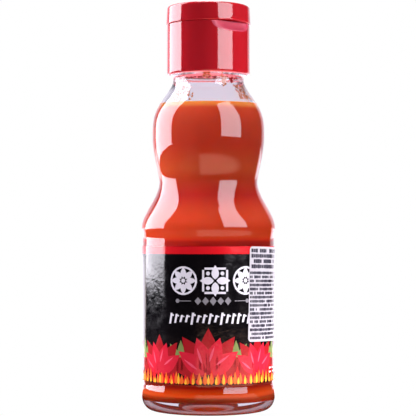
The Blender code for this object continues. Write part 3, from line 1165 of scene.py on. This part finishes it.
    def strap_mesh(self) -> bpy.types.Mesh:
        """The hinge strap, a bent bar with round edges."""
        inner = self.skirt_radius - self.hinge_depth - 0.05
        outer = self.skirt_radius + 0.28
        low, high = self.parting() - self.hinge_below, self.parting() + self.hinge_above
        half = math.degrees(self.hinge_half_width / self.skirt_radius)
        section = [(inner, low), (inner, high)]
        section += arc((outer - 0.5, high - 0.5), 0.5, 90.0, 0.0, 5)
        section += straight((outer, high - 0.5), (outer - 0.35, self.parting()), 4)[1:]
        section += straight((outer - 0.35, self.parting()), (outer, low + 0.5), 4)[1:]
        section += arc((outer - 0.5, low + 0.5), 0.5, 0.0, -90.0, 5)[1:]
        middle = Vector([sum(values) / len(section) for values in zip(*section)])
        rings = []
        for step in range(25):
            share = step / 12.0 - 1.0
            azimuth = self.thumb_azimuth + 180.0 + half * share
            shrink = 1.0 - 0.12 * max(0.0, abs(share) - 0.85) / 0.15
            ring = []
            for radius, height in section:
                r, h = middle.x + (radius - middle.x) * shrink, middle.y + (height - middle.y) * shrink
                ring.append(on_wall(azimuth, r, h))
            rings.append(ring)
        ends = [on_wall(self.thumb_azimuth + 180.0 + side * half, middle.x, middle.y) for side in (-1.0, 1.0)]
        return ring_mesh("hinge_strap", [[ends[0]], *rings, [ends[1]]])

    def build(self) -> list[bpy.types.Object]:
        """Builds skirt, lid and hinge strap."""
        red = MouldedPlastic("cap_red").material()
        # Satin finish on the thumb scoop: its roughness is the real texture, and its pink tint is a painted
        # sheen.
        satin = MouldedPlastic("cap_red_satin", (0.66, 0.040, 0.105), (0.56, 0.030, 0.080),
                               (0.55, 0.62)).material()
        # Painted light: the bore and the downward faces of the skirt glow pink-red.
        lit = MouldedPlastic("cap_red_inside", shine=0.8).material()
        skirt = new_object("cap_skirt", ring_mesh("cap_skirt", self.skirt_rings()), red, satin, lit)
        self.assign_finishes(skirt.data)
        lid = new_object("flip_lid", ring_mesh("flip_lid", self.lid_rings()), red)
        strap = new_object("hinge_strap", self.strap_mesh(), red)
        for piece in (skirt, lid, strap):
            piece.data.set_sharp_from_angle(angle=math.radians(50.0))
        return [mount(skirt, Slot.CAP, "cap_base"), mount(lid, Slot.CAP, "cap_lid"), mount(strap, Slot.CAP)]


@dataclass
class BentSheet:
    """A thin sheet wrapped round the bottle, with an outline given column by column."""

    name: str
    inner: float
    outer: float
    columns: list[tuple[float, float, float]]
    rows: int = 12
    shear: float = 0.0
    upright_at: float = 0.0

    def sheared(self, azimuth: float, height: float) -> float:
        """The azimuth of a column at a height, for a sheet that leans sideways."""
        return azimuth + math.degrees(self.shear * (height - self.upright_at) / self.outer)

    def mesh(self) -> bpy.types.Mesh:
        """The closed sheet: each column holds its azimuth in degrees, its bottom and its top."""
        rings = []
        for azimuth, bottom, top in self.columns:
            heights = [bottom + (top - bottom) * i / self.rows for i in range(self.rows + 1)]
            outside = [on_wall(self.sheared(azimuth, height), self.outer, height) for height in heights]
            inside = [on_wall(self.sheared(azimuth, height), self.inner, height)
                      for height in reversed(heights)]
            rings.append(outside + inside)
        mesh = ring_mesh(self.name, rings)
        closed = bmesh.new()
        closed.from_mesh(mesh)
        bmesh.ops.holes_fill(closed, edges=[edge for edge in closed.edges if edge.is_boundary])
        bmesh.ops.recalc_face_normals(closed, faces=closed.faces)
        closed.to_mesh(mesh)
        closed.free()
        face_out(mesh)
        mesh.set_sharp_from_angle(angle=math.radians(40.0))
        return mesh


class Ink(Enum):
    """The inks of the label, each as its colour and a slightly deeper shade."""

    BLACK = ((0.0045, 0.0035, 0.0045), (0.0030, 0.0025, 0.0035))
    STRIPE = (tone(228, 28, 38), tone(218, 24, 34))
    WHITE = (tone(240, 235, 243), tone(230, 225, 235))
    SILVER = (tone(150, 146, 152), tone(132, 128, 134))
    CRIMSON = (tone(214, 34, 58), tone(200, 28, 50))
    DEEP_RED = (tone(172, 26, 36), tone(158, 22, 32))
    ROSE = (tone(232, 84, 112), tone(222, 72, 100))
    ORANGE = (tone(240, 112, 40), tone(230, 96, 34))
    YELLOW = (tone(250, 186, 52), tone(244, 170, 44))
    GREEN = (tone(132, 146, 84), tone(112, 126, 70))
    GREY = (tone(62, 60, 72), tone(50, 48, 60))

    def material(self) -> bpy.types.Material:
        """The printed film in this ink."""
        colour, shade = self.value
        return PrintedFilm("ink_" + self.name.lower(), colour, shade).material()


class PrintShop:
    """Makes flat shapes, repeats them and wraps them on the label."""

    def __init__(self, radius: float) -> None:
        """Sets up the press.

        Args:
            radius: The radius of the surface that is printed on, in millimetres.
        """
        self.radius = radius
        self.row, self.rosette, self.lines, self.wrap = RowTree(), RosetteTree(), LineTree(), WrapTree()
        self.slice_width = 0.9
        self.finishes: dict[Ink, bpy.types.Material] = {}

    def finish(self, ink: Ink) -> bpy.types.Material:
        """The material of an ink, made once."""
        if ink not in self.finishes:
            self.finishes[ink] = ink.material()
        return self.finishes[ink]

    def flat(self, outlines: Sequence[Outline]) -> bpy.types.Mesh:
        """Fills outlines as one flat mesh, facing +Z.

        Args:
            outlines: Closed outlines in millimetres, going anticlockwise.

        Returns:
            The mesh, in metres.
        """
        mesh = bpy.data.meshes.new("flat")
        verts, faces = [], []
        for outline in outlines:
            faces.append(tuple(range(len(verts), len(verts) + len(outline))))
            verts += [(x * MM, y * MM, 0.0) for x, y in outline]
        mesh.from_pydata(verts, [], faces)
        return mesh

    def spun(self, motif: Outline, count: int, sweep: float, start: float = 0.0) -> bpy.types.Mesh:
        """A motif repeated round the origin, with angles in degrees."""
        obj = self.rosette.run(self.flat([motif]), "spun", Count=count, Sweep=math.radians(sweep),
                               Start=math.radians(start))
        return self.taken(obj)

    def lined(self, motifs: Sequence[Outline], count: int, spacing: float, shortest: float,
              seed: int) -> bpy.types.Mesh:
        """Motifs repeated along X, with random lengths from shortest to 1."""
        obj = self.row.run(self.flat(motifs), "lined", Count=count, Spacing=spacing * MM, Shortest=shortest,
                           Seed=seed)
        return self.taken(obj)

    def greeked(self, block: Point, rows: int, columns: int, pitch: float, step: float, gaps: float,
                seed: int, smallest: float = 0.55) -> bpy.types.Mesh:
        """Rows of small blocks in place of print."""
        half_x, half_y = block[0] / 2.0, block[1] / 2.0
        motif = [(-half_x, -half_y), (half_x, -half_y), (half_x, half_y), (-half_x, half_y)]
        obj = self.lines.run(self.flat([motif]), "greeked", Rows=rows, Columns=columns, Pitch=pitch * MM,
                             Step=step * MM, Gaps=gaps, Seed=seed, Smallest=smallest)
        return self.taken(obj)

    @staticmethod
    def taken(obj: bpy.types.Object) -> bpy.types.Mesh:
        """The mesh of a helper object, which is then removed."""
        mesh = obj.data
        bpy.data.objects.remove(obj)
        return mesh

    def press(self, name: str, ink: Ink, parts: Sequence[tuple[bpy.types.Mesh, Point]],
              lift: float = 0.03, lean: float = 0.0) -> bpy.types.Object:
        """Places flat meshes on the wall and presses them on as one thin piece.

        Args:
            name: The piece's name.
            ink: Its ink.
            parts: Each flat mesh with its place: millimetres round the wall from the front, and height.
            lift: How far its face stands off the film.
            lean: How far the print leans, in millimetres down for each millimetre round.

        Returns:
            The finished piece.
        """
        sheet = bmesh.new()
        for mesh, (along, height) in parts:
            first = len(sheet.verts)
            sheet.from_mesh(mesh)
            sheet.verts.ensure_lookup_table()
            for vert in sheet.verts[first:]:
                vert.co.x += along * MM
                vert.co.y += height * MM
        for vert in sheet.verts:
            vert.co.y -= lean * vert.co.x
        low = min(vert.co.x for vert in sheet.verts)
        high = max(vert.co.x for vert in sheet.verts)
        cut = math.ceil(low / (self.slice_width * MM)) * self.slice_width * MM
        while cut < high:
            everything = [*sheet.verts, *sheet.edges, *sheet.faces]
            bmesh.ops.bisect_plane(sheet, geom=everything, dist=0.001 * MM, plane_co=(cut, 0.0, 0.0),
                                   plane_no=(1.0, 0.0, 0.0))
            cut += self.slice_width * MM
        flat = bpy.data.meshes.new(name)
        sheet.to_mesh(flat)
        sheet.free()
        piece = self.wrap.run(flat, name, Radius=(self.radius + lift) * MM, Finish=self.finish(ink))
        slab = piece.modifiers.new("Slab", "SOLIDIFY")
        slab.thickness = (lift + 0.02) * MM
        slab.offset = -1.0
        piece.data = plain_mesh(piece)
        piece.modifiers.clear()
        return mount(piece, Slot.LABEL)


def ogive(width: float, length: float, foot: float = 0.0, steps: int = 8, fullness: float = 0.8) -> Outline:
    """A pointed leaf standing on the origin.

    Args:
        width, length: Its size.
        foot: How far its foot stands off the origin.
        steps: Points up each side.
        fullness: How low its widest place is; below 1 it is nearer the foot.

    Returns:
        The outline, anticlockwise.
    """
    right = []
    for step in range(1, steps):
        share = step / steps
        right.append((width / 2.0 * math.sin(math.pi * share**fullness), foot + length * share))
    left = [(-x, y) for x, y in reversed(right)]
    return [(0.0, foot), *right, (0.0, foot + length), *left]


def disc(radius: float, x: float = 0.0, y: float = 0.0, steps: int = 20) -> Outline:
    """A round dot."""
    angles = [TURN * step / steps for step in range(steps)]
    return [(x + radius * math.cos(a), y + radius * math.sin(a)) for a in angles]


def bar(width: float, height: float, x: float = 0.0, y: float = 0.0, slant: float = 0.0) -> Outline:
    """An upright bar about a middle, its top shifted sideways by slant."""
    low, high = y - height / 2.0, y + height / 2.0
    left, right = x - width / 2.0, x + width / 2.0
    return [(left - slant, low), (right - slant, low), (right + slant, high), (left + slant, high)]


def diamond(width: float, height: float, x: float = 0.0, y: float = 0.0) -> Outline:
    """A diamond about a middle."""
    return [(x - width / 2.0, y), (x, y - height / 2.0), (x + width / 2.0, y), (x, y + height / 2.0)]


@dataclass
class WrapLabel:
    """The printed label: black film with a red band, and a generic pattern of rosettes, petals and arches."""

    seam: float = 5.0
    wall_gap: float = 0.15
    thickness: float = 0.12
    panel_radius: float = 25.95
    bottom: float = field(default_factory=lambda: heights_of("label")[0])
    top: float = field(default_factory=lambda: heights_of("label")[1])
    band: float = 3.0
    columns: int = 240

    def outer(self) -> float:
        """The radius of the printed face."""
        return self.panel_radius + self.wall_gap + self.thickness

    def half_length(self) -> float:
        """Half the label's length round the wall."""
        return math.radians(180.0 - self.seam / 2.0) * self.outer()

    def film(self) -> bpy.types.Object:
        """The film itself."""
        half = 180.0 - self.seam / 2.0
        steps = [-half + 2.0 * half * column / self.columns for column in range(self.columns + 1)]
        columns = [(azimuth, self.bottom, self.top) for azimuth in steps]
        sheet = BentSheet("label_film", self.panel_radius + 0.02, self.outer(), columns)
        piece = new_object("label_film", sheet.mesh(), Ink.BLACK.material())
        return mount(piece, Slot.LABEL, "label")

    def print_band(self, shop: PrintShop) -> None:
        """The red band along the label's top edge, all the way round."""
        length = 2.0 * self.half_length() - 0.2
        band = shop.flat([bar(length, self.band - 0.05)])
        shop.press("print_band", Ink.STRIPE, [(band, (0.0, self.top - self.band / 2.0 - 0.03))])

    def print_rosettes(self, shop: PrintShop) -> None:
        """Three large white rosettes side by side, the outer two round and the middle one square."""
        petals = shop.spun(ogive(2.3, 4.1, 1.1), 8, 45.0)
        ring = shop.spun(bar(1.42, 0.75, 0.0, 5.05), 24, 15.0)
        hub = shop.flat([disc(0.8)])
        leaves = shop.spun(ogive(2.9, 5.4, 0.5), 4, 90.0)
        frame_bars = shop.spun(bar(8.2, 0.8, 0.0, 4.6), 4, 90.0)
        corners = shop.spun(disc(0.75, 0.0, 3.9), 4, 90.0, 45.0)
        height, spacing = 51.6, 12.4
        parts = []
        for side in (-1.0, 1.0):
            parts += [(mesh, (2.6 + side * spacing, height)) for mesh in (petals, ring, hub)]
        parts += [(mesh, (2.6, height)) for mesh in (leaves, frame_bars, corners)]
        shop.press("print_rosettes", Ink.WHITE, parts)

    def print_rule(self, shop: PrintShop) -> None:
        """A line of small silver diamonds between two thin rules."""
        height = 43.9
        gems = shop.lined([diamond(2.6, 3.6)], 5, 2.9, 0.75, 2)
        rules = shop.flat([bar(5.0, 0.28, -11.0, 0.0), bar(5.0, 0.28, 11.0, 0.0), disc(0.8, -14.0, 0.0),
                           disc(0.8, 14.0, 0.0)])
        shop.press("print_rule", Ink.SILVER, [(gems, (1.8, height)), (rules, (1.8, height))])

    def print_dashes(self, shop: PrintShop) -> None:
        """A row of slanted white dashes of uneven length, in place of lettering."""
        dashes = shop.lined([bar(0.85, 4.6, 0.0, 0.0, 0.35), disc(0.42, 0.95, 1.4)], 15, 2.25, 0.55, 7)
        shop.press("print_dashes", Ink.WHITE, [(dashes, (0.6, 37.2))])

    def print_blossoms(self, shop: PrintShop) -> None:
        """Fans of red petals rising from the foot of the label, with green leaves between."""
        places = [(0.0, 1.0), (-21.0, 0.84), (21.0, 0.84), (-43.0, 0.8), (43.0, 0.8), (-64.0, 0.8),
                  (64.0, 0.8)]
        back, front, shine, leaves = [], [], [], []
        for along, scale in places:
            spot = (along, self.bottom + 4.2)
            back.append((shop.spun(ogive(7.6 * scale, 17.5 * scale), 5, 36.0, -72.0), spot))
            front.append((shop.spun(ogive(6.8 * scale, 14.5 * scale), 4, 36.0, -54.0), spot))
            streak = [(x - 1.1 * scale, y) for x, y in ogive(0.9 * scale, 6.5 * scale, 4.5 * scale)]
            shine.append((shop.spun(streak, 4, 36.0, -54.0), spot))
        for along in (-10.8, 10.8, -32.0, 32.0, -53.5, 53.5):
            leaves.append((shop.spun(ogive(3.0, 8.6), 3, 34.0, -34.0), (along, self.bottom + 8.4)))
        shop.press("print_leaves", Ink.GREEN, leaves, 0.028)
        shop.press("print_petals_back", Ink.DEEP_RED, back, 0.036)
        shop.press("print_petals_front", Ink.CRIMSON, front, 0.046)
        shop.press("print_petal_shine", Ink.ROSE, shine, 0.056)

    def print_border(self, shop: PrintShop) -> None:
        """Three rows of pointed arches along the foot of the label."""
        length = 2.0 * self.half_length() - 0.4
        rows = [("print_arches_red", Ink.STRIPE, 1.9, 2.5, 7.2, 0.062, 11),
                ("print_arches_orange", Ink.ORANGE, 1.5, 2.3, 6.0, 0.07, 12),
                ("print_arches_yellow", Ink.YELLOW, 1.0, 2.9, 4.6, 0.078, 13)]
        for name, ink, width, spacing, height, lift, seed in rows:
            count = int(length / spacing)
            arches = shop.lined([ogive(width, height, 0.0, 6, 0.6)], count, length / count, 0.4, seed)
            shop.press(name, ink, [(arches, (0.0, self.bottom + 0.1))], lift)

    def print_small(self, shop: PrintShop) -> None:
        """Blocks of greeked small print, low on the right and on the back."""
        small = shop.greeked((0.55, 0.8), 2, 12, 1.5, 0.72, 0.2, 21)
        back = shop.greeked((0.6, 0.95), 16, 44, 1.8, 0.8, 0.22, 22)
        parts = [(small, (33.5, self.bottom + 4.6)), (back, (-58.0, 46.5)), (back, (68.0, 46.5))]
        shop.press("print_small", Ink.WHITE, parts, 0.05)

    def build(self) -> list[bpy.types.Object]:
        """Builds the film and presses every ink on it."""
        shop = PrintShop(self.outer())
        film = self.film()
        self.print_band(shop)
        self.print_rosettes(shop)
        self.print_rule(shop)
        self.print_dashes(shop)
        self.print_blossoms(shop)
        self.print_border(shop)
        self.print_small(shop)
        return [film]


@dataclass
class SideSticker:
    """The white paper sticker, leaning a little, with greeked rows of print."""

    azimuth: float = 89.2
    width: float = 49.0
    height: float = 36.5
    bottom: float = 27.5
    corner: float = 1.4
    lean: float = 1.5
    inner: float = 26.29
    outer: float = 26.43
    steps: int = 120

    def slope(self) -> float:
        """How far it drops for each millimetre round the wall."""
        return math.tan(math.radians(self.lean))

    def paper(self) -> bpy.types.Object:
        """The sheet of paper."""
        half = self.width / 2.0
        columns = []
        for step in range(self.steps + 1):
            along = -half * math.cos(math.pi * step / self.steps)
            into = max(0.0, abs(along) - (half - self.corner))
            cut = self.corner - math.sqrt(max(0.0, self.corner**2 - into**2))
            drop = self.slope() * along
            azimuth = self.azimuth + math.degrees(along / self.outer)
            columns.append((azimuth, self.bottom + cut - drop, self.bottom + self.height - cut - drop))
        sheet = BentSheet("sticker_paper", self.inner, self.outer, columns, shear=self.slope(),
                          upright_at=self.bottom + self.height / 2.0)
        piece = new_object("sticker_paper", sheet.mesh(), CoatedPaper("sticker_paper").material())
        return mount(piece, Slot.STICKER, "sticker")

    def printed(self) -> list[bpy.types.Object]:
        """Four bold rows and many fine ones."""
        shop = PrintShop(self.outer)
        middle = math.radians(self.azimuth) * self.outer
        top = self.bottom + self.height
        bold = shop.greeked((1.14, 1.6), 4, 41, 2.03, 1.16, 0.08, 31, 0.8)
        fine = shop.greeked((0.72, 1.16), 17, 65, 1.56, 0.74, 0.1, 32, 0.75)
        lift = self.slope() * middle
        pieces = [shop.press("sticker_bold_print", Ink.GREY, [(bold, (middle + 0.4, top - 4.6 + lift))], 0.02,
                             self.slope())]
        pieces.append(shop.press("sticker_fine_print", Ink.GREY,
                                 [(fine, (middle - 0.1, self.bottom + 13.9 + lift))], 0.02, self.slope()))
        return pieces

    def build(self) -> list[bpy.types.Object]:
        """Builds paper and print."""
        return [self.paper(), *self.printed()]


@dataclass(frozen=True)
class SoftBox:
    """A tall studio light: the azimuths and heights that it spans, as seen from the bottle.

    Polished surfaces mirror it at one brightness and matt ones are lit at another, as by a box whose
    middle is hotter than the rest.
    """

    name: str
    azimuths: Point
    heights: Point
    distance: float
    mirrored: tuple[float, float]
    lighting: float
    colour: Colour
    turn: float = 0.0

    def lamp(self, role: str, strength: float, nearer: float, turn: float = 0.0) -> bpy.types.Object:
        """Hangs one lamp of the box's size, facing the bottle's axis.

        Args:
            role: What it is for, added to its name.
            strength: Its radiance.
            nearer: How far it hangs in front of the box, because lamps in one plane hide each other.
            turn: How far round the bottle it hangs from the box's middle, in degrees.

        Returns:
            The lamp, hidden from the camera and from rays that pass through the glass.
        """
        middle = sum(self.azimuths) / 2.0 + turn
        half = math.radians(abs(self.azimuths[1] - self.azimuths[0]) / 2.0)
        low, high = self.heights
        lamp = bpy.data.lights.new(self.name + role, "AREA")
        lamp.shape = "RECTANGLE"
        lamp.size = 2.0 * self.distance * math.tan(half) * MM
        lamp.size_y = (high - low) * MM
        lamp.energy = strength * math.pi * lamp.size * lamp.size_y
        lamp.color = self.colour
        obj = bpy.data.objects.new(self.name + role, lamp)
        obj.location = on_wall(middle, self.distance - nearer, (low + high) / 2.0) * MM
        inward = -on_wall(middle, 1.0, 0.0)
        obj.rotation_euler = inward.to_track_quat("-Z", "Y").to_euler()
        obj.visible_camera = False
        obj.visible_transmission = False
        bpy.context.scene.collection.objects.link(obj)
        return obj

    def build(self) -> None:
        """Hangs the lamp that lights and the one that is mirrored, which fades from side to side."""
        self.lamp("_lighting", self.lighting, 0.0, self.turn).visible_glossy = False
        mirror = self.lamp("_mirrored", 1.0, 5.0)
        mirror.visible_diffuse = False
        mirror.data.use_nodes = True
        desk = NodeDesk(mirror.data.node_tree)
        emission = next(node for node in desk.tree.nodes if node.type == "EMISSION")
        across = desk.add("ShaderNodeNewGeometry").outputs["Parametric"]
        share = desk.add("ShaderNodeSeparateXYZ", {0: across}).outputs[0]
        inputs = {"Value": share, 1: 0.0, 2: 1.0, 3: self.mirrored[0], 4: self.mirrored[1]}
        desk.feed(emission.inputs["Strength"], desk.add("ShaderNodeMapRange", inputs).outputs["Result"])


@dataclass
class Studio:
    """Plain pale floor, white surroundings, two soft boxes and the camera."""

    eye_height: float = 68.5
    eye_distance: float = 566.6
    aim_height: float = 79.7
    aim_side: float = -0.16
    lens: float = 123.3
    floor_size: float = 9000.0
    boxes: tuple[SoftBox, ...] = (
        SoftBox("soft_box_left", (-137.0, -81.0), (32.0, 1200.0), 600.0, (6.6, 11.4), 7.2, (1.0, 0.97, 1.06)),
        SoftBox("soft_box_right", (26.0, 70.0), (99.0, 1750.0), 1000.0, (7.6, 7.6), 3.3, (1.0, 0.97, 1.04),
                18.0),
    )
    lit_floor: float = 330.0
    lit_azimuths: Point = (-19.0, 78.0)
    pool_strength: float = 2.2
    pool_colour: Colour = (1.0, 0.60, 0.44)
    pool_lighting: float = 2.1
    ring_lighting: float = 2.6
    lit_back: float = 140.0
    back_strength: float = 2.6
    dull_foot: Point = (50.0, 85.0)
    ring_start: Point = (27.0, 36.0)
    ring_end: Point = (50.0, 120.0)
    seen_through: Point = (160.0, 300.0)
    overhead_height: float = 1250.0
    overhead_size: float = 600.0
    overhead_strength: float = 14.0

    def floor(self) -> None:
        """The floor: white in the picture, with a pool of light on the bottle's right that gloss mirrors."""
        half = self.floor_size / 2.0 * MM
        mesh = bpy.data.meshes.new("floor")
        corners = [(-half, -half, 0.0), (half, -half, 0.0), (half, half, 0.0), (-half, half, 0.0)]
        mesh.from_pydata(corners, [], [(0, 1, 2, 3)])
        desk = ShaderDesk("floor_white")
        desk.set(Base_Color=(0.20, 0.195, 0.205, 1.0), Roughness=0.6)
        path = desk.add("ShaderNodeLightPath").outputs
        spot = desk.add("ShaderNodeSeparateXYZ", {0: desk.place}).outputs
        away = desk.add("ShaderNodeVectorMath", {0: desk.place}, operation="LENGTH").outputs["Value"]
        front = desk.work("MULTIPLY", spot[1], -1.0)
        azimuth = desk.work("ARCTAN2", spot[0], front)
        low, high = (math.radians(angle) for angle in self.lit_azimuths)
        middle, reach = (low + high) / 2.0, (high - low) / 2.0
        off = desk.work("ABSOLUTE", desk.work("SUBTRACT", azimuth, middle))
        inside = desk.remap(off, reach - 0.05, reach + 0.05, 1.0, 0.12)
        near = desk.remap(away, (self.lit_floor - 25.0) * MM, (self.lit_floor + 25.0) * MM, 1.0, 0.0)
        pool = desk.work("MULTIPLY", desk.work("MULTIPLY", inside, near), self.pool_strength)
        clear = desk.remap(away, self.dull_foot[0] * MM, self.dull_foot[1] * MM, 0.0, 1.0)
        back = math.radians(self.lit_back)
        behind = desk.remap(desk.work("ABSOLUTE", azimuth), back - 0.06, back + 0.06, 0.0, self.back_strength)
        share = desk.remap(behind, 0.0, self.back_strength, 0.0, 1.0)
        hue = desk.blend(share, paint(self.pool_colour), (0.95, 0.90, 1.0, 1.0))
        mirrored = desk.add("ShaderNodeEmission", {"Color": hue})
        desk.feed(mirrored.inputs["Strength"], desk.work("ADD", behind, desk.work("MULTIPLY", clear, pool)))
        seen = desk.add("ShaderNodeEmission", {"Color": (1.0, 1.0, 1.0, 1.0), "Strength": 1.0})
        aside = desk.remap(azimuth, 0.2, 1.0, 0.0, self.pool_lighting)
        outside = desk.remap(away, self.ring_start[0] * MM, self.ring_start[1] * MM, 0.0, 1.0)
        fading = desk.remap(away, self.ring_end[0] * MM, self.ring_end[1] * MM, self.ring_lighting, 0.0)
        ring = desk.work("MULTIPLY", outside, fading)
        ring = desk.work("MULTIPLY", ring, desk.remap(desk.work("ABSOLUTE", azimuth), 0.5, 1.1, 0.4, 1.0))
        scattered = desk.add("ShaderNodeEmission", {"Color": (1.0, 0.97, 1.0, 1.0)})
        desk.feed(scattered.inputs["Strength"], desk.work("ADD", ring, desk.work("MULTIPLY", pool, aside)))
        matt = desk.add("ShaderNodeAddShader", {0: desk.shader.outputs["BSDF"], 1: scattered.outputs[0]})
        inputs = {0: path["Is Glossy Ray"], 1: matt.outputs[0], 2: mirrored.outputs[0]}
        unseen = desk.add("ShaderNodeMixShader", inputs).outputs[0]
        # Painted shadow: rays through the glass see the floor dark plum near the bottle and pale further off.
        far = desk.remap(away, self.seen_through[0] * MM, self.seen_through[1] * MM, 0.0, 1.0)
        tint = desk.blend(far, (0.10, 0.045, 0.055, 1.0), (0.80, 0.74, 0.88, 1.0))
        through = desk.add("ShaderNodeEmission", {"Color": tint, "Strength": 1.0})
        inputs = {0: path["Is Transmission Ray"], 1: unseen, 2: through.outputs[0]}
        unseen = desk.add("ShaderNodeMixShader", inputs).outputs[0]
        inputs = {0: path["Is Camera Ray"], 1: unseen, 2: seen.outputs[0]}
        desk.feed(desk.output.inputs["Surface"], desk.add("ShaderNodeMixShader", inputs).outputs[0])
        floor = new_object("studio_floor", mesh, desk.material)

    def overhead(self) -> None:
        """A weak light straight above the bottle."""
        lamp = bpy.data.lights.new("overhead", "AREA")
        lamp.shape = "SQUARE"
        lamp.size = self.overhead_size * MM
        lamp.energy = self.overhead_strength * math.pi * lamp.size**2
        obj = bpy.data.objects.new("overhead", lamp)
        obj.location = (0.0, 0.1, self.overhead_height * MM)
        obj.visible_camera = False
        obj.visible_transmission = False
        bpy.context.scene.collection.objects.link(obj)

    def surroundings(self) -> None:
        """White behind the bottle, dark on the camera's side, as its polished surfaces show."""
        world = bpy.data.worlds.new("studio")
        world.use_nodes = True
        bpy.context.scene.world = world
        desk = NodeDesk(world.node_tree)
        world.node_tree.nodes.clear()
        toward = desk.add("ShaderNodeTexCoord").outputs["Generated"]
        depth = desk.add("ShaderNodeSeparateXYZ", {0: toward}).outputs
        inputs = {"Value": depth[1], 1: 0.76, 2: 0.83, 3: 0.012, 4: 1.0}
        behind = desk.add("ShaderNodeMapRange", inputs).outputs["Result"]
        path = desk.add("ShaderNodeLightPath").outputs
        mirrored = desk.blend(behind, (0.0, 0.0, 0.0, 1.0), (0.97, 0.93, 1.05, 1.0))
        seen_through = desk.blend(path["Is Transmission Ray"], mirrored, (0.80, 0.74, 0.88, 1.0))
        scattered = desk.work("GREATER_THAN", path["Diffuse Depth"], 0.5)
        inputs = {"Value": depth[1], 1: -0.2, 2: 0.9, 3: 0.01, 4: 0.08}
        fill = desk.add("ShaderNodeMapRange", inputs).outputs["Result"]
        lit = desk.blend(fill, (0.0, 0.0, 0.0, 1.0), (1.0, 0.97, 1.0, 1.0))
        lighting = desk.blend(scattered, seen_through, lit)
        final = desk.blend(path["Is Camera Ray"], lighting, (1.0, 1.0, 1.0, 1.0))
        sky = desk.add("ShaderNodeBackground", {"Color": final, "Strength": 1.0})
        desk.add("ShaderNodeOutputWorld", {"Surface": sky.outputs[0]})

    def camera(self) -> None:
        """The camera at the photograph's viewing angle."""
        lens = bpy.data.cameras.new("camera")
        lens.lens = self.lens
        lens.clip_start = 0.01
        eye = bpy.data.objects.new("camera", lens)
        eye.location = Vector((0.0, -self.eye_distance, self.eye_height)) * MM
        aim = Vector((self.aim_side, 0.0, self.aim_height)) * MM
        eye.rotation_euler = (aim - eye.location).to_track_quat("-Z", "Y").to_euler()
        bpy.context.scene.collection.objects.link(eye)
        bpy.context.scene.camera = eye

    def build(self) -> None:
        """Sets up the whole studio."""
        bpy.context.scene.view_settings.view_transform = "Standard"
        self.camera()
        self.floor()
        self.surroundings()
        self.overhead()
        for box in self.boxes:
            box.build()


def main() -> None:
    """Builds the studio, then the bottle from the glass outwards."""
    logging.basicConfig(level=logging.INFO, format="%(name)s: %(message)s")
    Studio().build()
    turner = TurnTree()
    bottle = GlassBottle(WallShape())
    bottle.build(turner)
    SauceFill(bottle).build(turner)
    NeckStains(bottle).build(DropTree())
    FlipTopCap().build()
    WrapLabel().build()
    SideSticker().build()


if __name__ == "__main__":
    main()
